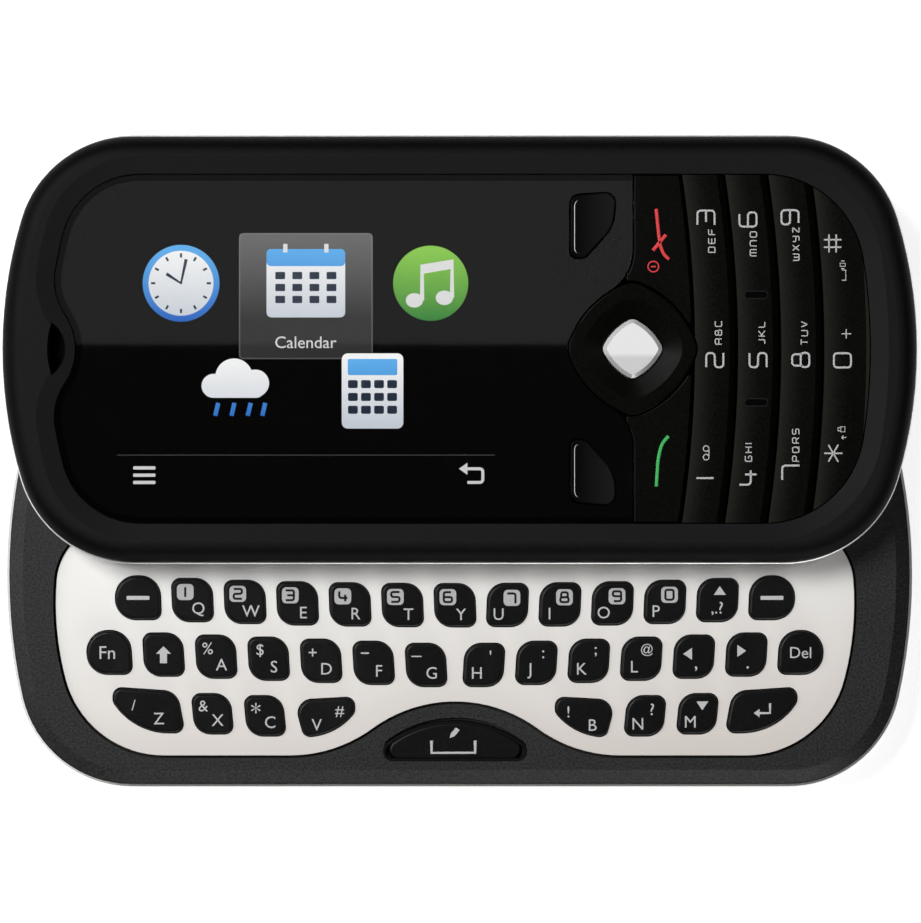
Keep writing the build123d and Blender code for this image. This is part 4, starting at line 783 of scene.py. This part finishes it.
# Letter keys: what is printed on each, from the middle of its top; (text, cap height, across, up)
key_top = top_of("key_q")
key_prints = {}
tiles = {}
for letter, figure in zip("qwertyuiop", "1234567890"):
    left = letter in "qwerty"
    tiles[letter] = (figure, -0.84 if left else 0.52, 0.97 if left else 0.86)
    letter_x = 0.71 if left else (-1.24 if letter == "i" else -1.05)
    key_prints[letter] = [(letter.upper(), KEY_CAP, letter_x, -1.07)]
for letter, sign, sign_cap, sign_x, sign_y in (
    ("a", "%", 1.36, -0.99, 1.0), ("s", "$", 1.3, -0.99, 1.0), ("d", "+", 1.36, -0.99, 1.0),
    ("h", "'", 1.36, 0.78, 1.45), ("j", ":", 1.36, 0.81, 1.03), ("k", ";", 1.36, 0.8, 1.08),
    ("l", "@", 1.05, 0.65, 1.06), ("x", "&", 1.3, -1.06, 0.94), ("c", "*", 1.9, -1.06, 0.94),
):
    across = 0.63 if letter in "xc" else (0.65 if letter in "asd" else -0.83)
    up = -0.73 if letter in "xc" else -0.92
    key_prints[letter] = [(letter.upper(), KEY_CAP, across, up), (sign, sign_cap, sign_x, sign_y)]
key_prints.update({
    "f": [("F", KEY_CAP, 0.65, -0.92)],
    "g": [("G", KEY_CAP, 0.65, -0.92)],
    "z": [("Z", KEY_CAP, 1.29, -0.94), ("/", 1.2, -1.69, 0.65)],
    "v": [("V", KEY_CAP, -1.13, -0.91), ("#", 1.25, 1.57, 0.65)],
    "b": [("B", KEY_CAP, 1.07, -0.93), ("!", 1.3, -1.8, 0.63)],
    "n": [("N", KEY_CAP, -0.86, -0.91), ("?", 1.36, 0.84, 0.79)],
    "m": [("M", KEY_CAP, -0.87, -0.92)],
    "up_punctuation": [(",.?", 1.36, -0.06, -0.99)],
    "left_comma": [(",", 1.6, 0.24, -1.4)],
    "right_period": [(".", 1.6, 0.14, -1.49)],
    "fn": [("Fn", 1.5, -0.24, 0.0)],
    "delete": [("Del", 1.3, 0.0, 0.0)],
})


def oblong(x, y):
    """Corners of a rectangle that reaches x and y from its middle."""
    return [(-x, -y), (x, -y), (x, y), (-x, y)]


# Cut shapes on the keys: (outline, across, up, corner radius)
UP_ARROW = [(0, 1.0), (0.88, 0.12), (0.42, 0.12), (0.42, -1.0), (-0.42, -1.0), (-0.42, 0.12), (-0.88, 0.12)]
POINTER = [(-0.71, -0.5), (0.71, -0.5), (0, 0.55)]
LEFT_POINTER = [(0.5, -0.71), (0.5, 0.71), (-0.55, 0)]
key_shapes = {
    "dash_left": [(oblong(1.35, 0.23), 0, 0, 0.1)],
    "dash_right": [(oblong(1.35, 0.23), 0, 0, 0.1)],
    "shift": [(UP_ARROW, 0, 0, 0.05)],
    "up_punctuation": [(POINTER, 0.26, 1.13, 0.05)],
    "m": [([(x, -y) for x, y in POINTER], 0.55, 0.99, 0.05)],
    "left_comma": [(LEFT_POINTER, -0.73, 0.35, 0.05)],
    "right_period": [([(-x, y) for x, y in LEFT_POINTER], -0.59, 0.46, 0.05)],
    "f": [(oblong(0.48, 0.09), -1.03, 1.17, 0.0)],
    "g": [(oblong(0.6, 0.07), -1.14, 1.03, 0.0)],
    "enter": [([(-1.0, -0.3), (-0.3, 0.2), (-0.3, -0.8)], 0, 0, 0.03)],
}
key_names = [n for n in nodes if n.startswith("key_") and not n.startswith("key_bar") and n != "key_space"]
for node in sorted(key_names):
    key = node[4:]
    rim = [v.co for v in nodes[node].data.vertices if v.co.z > (key_top - 0.3) * MM]
    mid_x, mid_y = ((min(c[i] for c in rim) + max(c[i] for c in rim)) / 2 / MM for i in (0, 1))
    printed = [lettering(text, cap, mid_x + x, mid_y + y, key_top)
               for text, cap, x, y in key_prints.get(key, [])]
    printed += [cut_shape(points, mid_x + x, mid_y + y, key_top, corner)
                for points, x, y, corner in key_shapes.get(key, [])]
    if key == "enter":
        bend = [(mid_x + 0.95, mid_y + 0.85), (mid_x + 0.95, mid_y - 0.3), (mid_x - 0.4, mid_y - 0.3)]
        printed.append(strokes([(bend, False)], 0.3, z=key_top))
    if printed:
        finished(joined(printed), "print_" + key, key_print, node, "dark_key")
    if key in tiles:
        figure, x, y = tiles[key]
        tile = plate(1.97, 1.9, 0.5, mid_x + x, mid_y + y, key_top)
        finished(tile, "tile_" + key, tile_print, node, "dark_key")
        number = stroked(figure, 1.42, 0.26, mid_x + x, mid_y + y, key_top + 0.02, False)
        finished(number, "figure_" + key, black_print_and_shade, node, "dark_key")

# Space key: a bracket and a pencil
space_top = top_of("key_space")
bracket = strokes([([(-3.28, -19.5), (-3.28, -20.95), (1.86, -20.95), (1.86, -19.5)], False)],
                  0.39, z=space_top)
pencil = cut_shape([(-1.15, -19.2), (-1.02, -18.65), (-0.42, -17.95), (0.02, -18.25), (-0.58, -18.98)],
                   0, 0, space_top)
finished(joined([bracket, pencil]), "print_space", key_print, "key_space", "dark_key")


# Faces of a CAD piece, copied as a sheet of their own

def copied_faces(node, name, wanted):
    """A merged copy of the faces of a node that wanted(face middle, face normal) picks."""
    sheet = nodes[node].copy()
    sheet.data = nodes[node].data.copy()
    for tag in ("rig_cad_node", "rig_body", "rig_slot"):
        if tag in sheet:
            del sheet[tag]
    sheet.parent = None
    sheet.name = name
    bpy.context.scene.collection.objects.link(sheet)
    only(sheet)
    select_by("faces")
    edit()
    bpy.ops.mesh.remove_doubles(threshold=0.001 * MM)
    bpy.ops.mesh.select_all(action="DESELECT")
    leave_edit()
    for face in sheet.data.polygons:
        face.select = not wanted(face.center / MM, face.normal)
    edit("AS_IS")
    bpy.ops.mesh.delete(type="FACE")
    leave_edit()
    select_by("corners")
    return sheet


def level_faces(z, steepest=0.99):
    """Picks the faces of copied_faces that lie level at a height."""
    return lambda middle, normal: normal.z > steepest and middle.z > z - 0.01


# Window border: ink on the underside of the window, open over the display
INK_THICK = 0.04
window_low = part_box("display_window")[0].z
border = copied_faces("display_window", "window_border", lambda middle, normal: normal.z < -0.9)
edit()
bpy.ops.mesh.flip_normals()
leave_edit()
border.data.transform(Matrix.Translation((0, 0, -0.06 * MM)))
thicken = border.modifiers.new("ink", "SOLIDIFY")
thicken.thickness = INK_THICK * MM
thicken.offset = 0
bpy.ops.object.modifier_apply(modifier="ink")
opening = plate(SCREEN_LENGTH, SCREEN_WIDTH, 0.8, SCREEN_X, SCREEN_Y, window_low / MM, 2.0)
bpy.context.view_layer.objects.active = border
cut = border.modifiers.new("opening", "BOOLEAN")
cut.operation = "DIFFERENCE"
cut.solver = "EXACT"
cut.object = opening
bpy.ops.object.modifier_apply(modifier="opening")
bpy.data.objects.remove(opening)
finished(border, "window_border", border_ink, "slider", "window")

# Edge lines of CAD pieces, swept into beads

def edge_bead(node, name, wanted, inset, radius, z):
    """Round bead along the outer edge of the faces that wanted picks, drawn inset from it."""
    bead = copied_faces(node, name, wanted)
    select_by("edges")
    edit()
    bpy.ops.mesh.region_to_loop()
    bpy.ops.mesh.select_all(action="INVERT")
    bpy.ops.mesh.delete(type="EDGE")
    bpy.ops.mesh.select_all(action="SELECT")
    bpy.ops.mesh.delete(type="ONLY_FACE")
    leave_edit()
    select_by("corners")
    low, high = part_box(node)
    middle, half = (low + high) / 2, (high - low) / 2
    for corner in bead.data.vertices:
        across = (corner.co.x - middle.x) * (1 - inset[0] * MM / half.x) + middle.x
        up = (corner.co.y - middle.y) * (1 - inset[1] * MM / half.y) + middle.y
        corner.co = (across, up, z * MM)
    bpy.ops.object.convert(target="CURVE")
    bead = bpy.context.object
    loops = sorted(bead.data.splines, key=lambda loop: max(abs(p.co.x) for p in loop.points))
    for loop in loops[:-1]:
        bead.data.splines.remove(loop)
    bead.data.bevel_depth = radius * MM
    bead.data.bevel_resolution = 2
    bead = meshed(bead)
    bpy.ops.object.shade_smooth()
    return bead


# Silver bead on the back shell's edge, round the bezel
ledge_z = top_of("slider_back")
bead = edge_bead("slider_back", "silver_bead", level_faces(ledge_z, 0.9), (0.18, 0.18), 0.17, ledge_z + 0.08)
finished(bead, "silver_bead", bead_paint, "slider", "silver_rim")

# Black bead in the joint between the frame and the white housing, along the frame's bevel: painted shade for
# the shadow in the joint
BEVEL_LOW = 7
joint_shade = edge_bead("base_frame", "frame_joint_shade",
                 lambda middle, normal: 0.8 < normal.z < 0.9 and middle.z > BEVEL_LOW,
                 (-0.1, -0.1), 0.15, top_of("rear_housing") + 0.03)
finished(joint_shade, "frame_joint_shade", black_mat_and_shade, "base", "dark_frame")

# Black ring round the space key's well: painted shade for the shadow in the well
well_shade = edge_bead("key_space", "space_well_shade", level_faces(key_top), (-0.9, -0.4), 0.27, key_top - 0.15)
finished(well_shade, "space_well_shade", black_mat_and_shade, "base", "dark_frame")

# Gloss edges of the soft keys, cut off at the right and closed; what is left carries a painted highlight on
# its left side
for key in ("soft_key_left", "soft_key_right"):
    soft_top = top_of(key)
    edge = edge_bead(key, key + "_edge", level_faces(soft_top), (0.5, 0.5), 0.13, soft_top - 0.05)
    edit("DESELECT")
    leave_edit()
    for corner in edge.data.vertices:
        corner.select = corner.co.x > SOFT_KEY_GLEAM_X * MM
    edit("AS_IS")
    bpy.ops.mesh.delete(type="VERT")
    bpy.ops.mesh.select_all(action="SELECT")
    bpy.ops.mesh.fill_holes(sides=0)
    bpy.ops.mesh.normals_make_consistent(inside=False)
    leave_edit()
    finished(edge, key + "_edge", soft_edge_highlight, key, "gloss_key")

# Black mats that the keys stand on, just above their boards
MAT_GAP = 0.02
pad_mat = plate(100.0, 43.0, 6.0, 0, SLIDER_Y, top_of("slider_circuit_board") + MAT_GAP)
finished(pad_mat, "keypad_mat", black_mat_and_shade, "slider", "circuit_board")
board_mat = plate(92.0, 21.0, 3.0, -0.53, -11.0, top_of("main_circuit_board") + MAT_GAP)
finished(board_mat, "keyboard_mat", black_mat_and_shade, "base", "circuit_board")
finished(board_mat, "keyboard_mat", black_mat_and_shade, "base", "circuit_board")


# Display picture: a plain menu of five signs

def on_screen(piece, name, material):
    return finished(piece, name, material, "slider", "display")


def at(x, y, layer=0):
    """A place on the display, from the middle of the lit area."""
    return SCREEN_X + x, SCREEN_Y + y, SCREEN_Z + layer * LAYER


def screen_line(points, width, x=0, y=0, layer=0, closed=False, corner=0.0):
    """A stroke on the display, its points given from a place on it."""
    run = [(SCREEN_X + x + px, SCREEN_Y + y + py) for px, py in points]
    return strokes([(run, closed)], width, z=SCREEN_Z + layer * LAYER, corner=corner)


# Heights of the two rows of signs, and where a backlit colour starts and ends its fade
ROW_HIGH = 7.6
ROW_LOW = -5.0
UPPER_ROW = (12, 3)
LOWER_ROW = (-1, -9)
WHOLE_SCREEN = (12, -16)
WHITES = (grey(250), tone(196, 204, 214))
BLUES = (tone(96, 178, 240), tone(20, 92, 190))
white_high = lit("lit_white_upper", *WHITES, *UPPER_ROW)
white_low = lit("lit_white_lower", *WHITES, *LOWER_ROW)
blue_high = lit("lit_blue_upper", *BLUES, *UPPER_ROW)
blue_low = lit("lit_blue_lower", *BLUES, *LOWER_ROW)
green_high = lit("lit_green_upper", tone(140, 205, 80), tone(34, 122, 52), *UPPER_ROW)
pale_text = lit("lit_pale_text", grey(226), grey(206), *WHOLE_SCREEN)
dim_line = lit("lit_dim_line", grey(72), grey(60), *WHOLE_SCREEN)
dark_sign = lit("lit_dark_sign", tone(40, 52, 70), tone(24, 34, 50), *WHOLE_SCREEN)
tile_glow = lit("lit_tile", grey(104), grey(40), 13, 3.5)
tile_edge = lit("lit_tile_edge", grey(120), grey(84), 13, 0)

# The chosen sign stands on a grey tile with its name
on_screen(plate(15.6, 14.6, 0.5, *at(0, 6.1)), "screen_tile", tile_glow)
edge = [(-7.75, -1.2), (7.75, -1.2), (7.75, 13.4), (-7.75, 13.4)]
on_screen(screen_line(edge, 0.14, layer=1, closed=True, corner=0.5), "screen_tile_edge", tile_edge)
on_screen(lettering("Calendar", 1.35, *at(0, 0.7, 1)), "screen_label", pale_text)

# Calendar
on_screen(plate(9.2, 8.0, 0.6, *at(0, ROW_HIGH, 1)), "calendar_page", white_high)
on_screen(plate(9.2, 2.0, 0.5, *at(0, ROW_HIGH + 3.0, 2)), "calendar_head", blue_high)
days = [plate(1.15, 0.85, 0.12, *at(-3.0 + 2.0 * i, ROW_HIGH + 0.9 - 1.4 * j, 2))
        for i in range(4) for j in range(3)]
on_screen(joined(days), "calendar_days", dark_sign)
rings = [screen_line([(x, 3.6), (x, 4.6)], 0.5, 0, ROW_HIGH, 3) for x in (-2.4, 2.4)]
on_screen(joined(rings), "calendar_rings", pale_text)

# Clock
CLOCK_X = -14.6
on_screen(disc(4.5, *at(CLOCK_X, ROW_HIGH, 1)), "clock_rim", blue_high)
on_screen(disc(3.8, *at(CLOCK_X, ROW_HIGH, 2)), "clock_dial", white_high)
hours = [i * pi / 6 for i in range(12)]
ticks = [screen_line([(3.0 * cos(a), 3.0 * sin(a)), (3.5 * cos(a), 3.5 * sin(a))], 0.25, CLOCK_X, ROW_HIGH, 3)
         for a in hours]
hands = screen_line([(-1.7, 1.1), (0, 0), (0.6, 2.8)], 0.38, CLOCK_X, ROW_HIGH, 3)
on_screen(joined(ticks + [hands]), "clock_hands", dark_sign)

# Music
MUSIC_X = 14.6
on_screen(disc(4.4, *at(MUSIC_X, ROW_HIGH, 1)), "music_disc", green_high)
head = [(0.85 * cos(a) * 1.2, 0.85 * sin(a)) for a in [i * pi / 10 for i in range(20)]]
note = [cut_shape(head, *at(MUSIC_X + x, ROW_HIGH - 2.0 + 0.3 * (x > 0), 2)) for x in (-1.9, 1.6)]
stems = [(-1.0, -2.0), (-1.0, 2.0), (2.5, 2.6), (2.5, -1.7)]
note.append(screen_line(stems, 0.5, MUSIC_X, ROW_HIGH, 2))
note.append(screen_line([(-1.0, 1.6), (2.5, 2.2)], 1.0, MUSIC_X, ROW_HIGH, 2))
on_screen(joined(note), "music_note", pale_text)

# Weather
RAIN_X = -7.8
cloud = [disc(r, *at(RAIN_X + x, ROW_LOW + y, 1)) for r, x, y in ((2.2, -0.6, 1.6), (1.6, 1.9, 0.9),
                                                                  (1.4, -3.0, 0.6))]
cloud.append(plate(6.6, 2.0, 0.9, *at(RAIN_X - 0.4, ROW_LOW + 0.2, 1)))
on_screen(joined(cloud), "weather_cloud", white_low)
drops = [screen_line([(x + 0.35, -1.4), (x, -2.9)], 0.5, RAIN_X, ROW_LOW, 1) for x in (-2.8, -0.9, 1.0, 2.7)]
on_screen(joined(drops), "weather_rain", blue_low)

# Sums
SUMS_X = 7.8
on_screen(plate(7.2, 8.8, 0.7, *at(SUMS_X, ROW_LOW, 1)), "sums_body", white_low)
on_screen(plate(5.8, 1.9, 0.2, *at(SUMS_X, ROW_LOW + 2.8, 2)), "sums_display", blue_low)
buttons = [plate(1.15, 0.95, 0.2, *at(SUMS_X - 2.3 + 1.53 * i, ROW_LOW + 0.8 - 1.5 * j, 2))
           for i in range(4) for j in range(3)]
on_screen(joined(buttons), "sums_buttons", dark_sign)

# Line and two soft key signs at the foot
BACK_PLACE = (19.8, -14.8)
on_screen(plate(44.2, 0.1, 0.04, *at(0, -12.5)), "foot_line", dim_line)
bars = [plate(2.6, 0.38, 0.1, *at(-18.9, -14.0 - 0.85 * i)) for i in range(3)]
on_screen(joined(bars), "menu_sign", pale_text)
back = screen_line([(-1.2, 0.7), (0.9, 0.7), (0.9, -0.9), (-0.9, -0.9)], 0.34, *BACK_PLACE, corner=0.4)
tip = cut_shape([(-1.9, 0.7), (-0.9, 1.4), (-0.9, 0.0)], *at(*BACK_PLACE))
on_screen(joined([back, tip]), "back_sign", pale_text)

# Earpiece gauze under its slot in the bezel
earpiece = plate(3.6, 7.2, 0.8, -47.3, SLIDER_Y, 12.4, 0.1)
finished(earpiece, "earpiece_gauze", gauze, "slider", "matt_bezel")

# Camera lens in its recess at the back
lens = disc(2.4, -42.0, 0, 0.7, 0.1)
finished(lens, "camera_lens", finishes["gloss_key"], "base", "gloss_key")

# Floor, white wherever the camera, gloss or glass sees it
FLOOR_GLOW = 0.68
bpy.ops.mesh.primitive_plane_add(size=4.0, location=(0, 0, -0.02 * MM))
floor = bpy.context.object
floor.name = "floor"
paper, floor_tree, floor_shader = bare_finish("white_paper", specular=0.1)
rays = floor_tree.nodes.new("ShaderNodeLightPath").outputs
seen = arith(floor_tree, "MAXIMUM", rays["Is Camera Ray"],
             arith(floor_tree, "MAXIMUM", rays["Is Glossy Ray"], rays["Is Transmission Ray"]))
feed(floor_tree, floor_shader, {"Base Color": grey(236), "Roughness": 0.8, "Emission Color": (1, 1, 1, 1),
                                "Emission Strength": arith(floor_tree, "MULTIPLY", seen, FLOOR_GLOW)})
floor.data.materials.append(paper)

# Light: soft boxes at the sides, a dim card overhead that the window reflects, a faint room

def lamp(name, place, aim, size, power, width=None):
    """A soft box in metres and watts, not seen by the camera."""
    light = bpy.data.lights.new(name, "AREA")
    light.shape = "RECTANGLE"
    light.size = size
    light.size_y = width or size
    light.energy = power
    holder = new_object(name, light)
    holder.location = place
    holder.rotation_euler = (Vector(aim) - Vector(place)).to_track_quat("-Z", "Y").to_euler()
    holder.visible_camera = False


middle = (0, 0.013, 0)
lamp("far_box", (-0.46, 0.31, 0.83), middle, 0.38, 8.6)
lamp("left_box", (-0.78, 0.1, 0.42), middle, 0.35, 1.7)
lamp("right_box", (0.56, 0.16, 0.8), middle, 0.35, 0.9)
lamp("near_box", (0.1, -0.78, 0.6), middle, 0.5, 0.5)
lamp("low_box", (0.25, -0.96, 0.13), middle, 0.7, 4.6, 0.2)
lamp("window_card", (0, 0.15, 1.015), (0, 0.15, 0), 0.5, 0.068, 0.2)

ROOM_GLOW = 0.025
world = bpy.data.worlds.new("room")
bpy.context.scene.world = world
world.use_nodes = True
world_tree = world.node_tree
looked_at = world_tree.nodes.new("ShaderNodeLightPath").outputs["Is Camera Ray"]
feed(world_tree, world_tree.nodes["Background"], {
    "Color": (1, 1, 1, 1), "Strength": span(world_tree, looked_at, 0.0, 1.0, ROOM_GLOW, 1.0)})

# Camera, straight above; its focal length and frame are in the photograph's pixels
FOCAL_PIXELS = 5142
FRAME_PIXELS = 921
SENSOR = 36
camera_data = bpy.data.cameras.new("camera")
camera = new_object("camera", camera_data)
camera.location = (0.12 * MM, 13.44 * MM, 0.615)
camera_data.sensor_fit = "HORIZONTAL"
camera_data.sensor_width = SENSOR
camera_data.lens = FOCAL_PIXELS / FRAME_PIXELS * SENSOR
camera_data.clip_start = 0.01
bpy.context.scene.camera = camera
bpy.context.scene.view_settings.view_transform = "Standard"
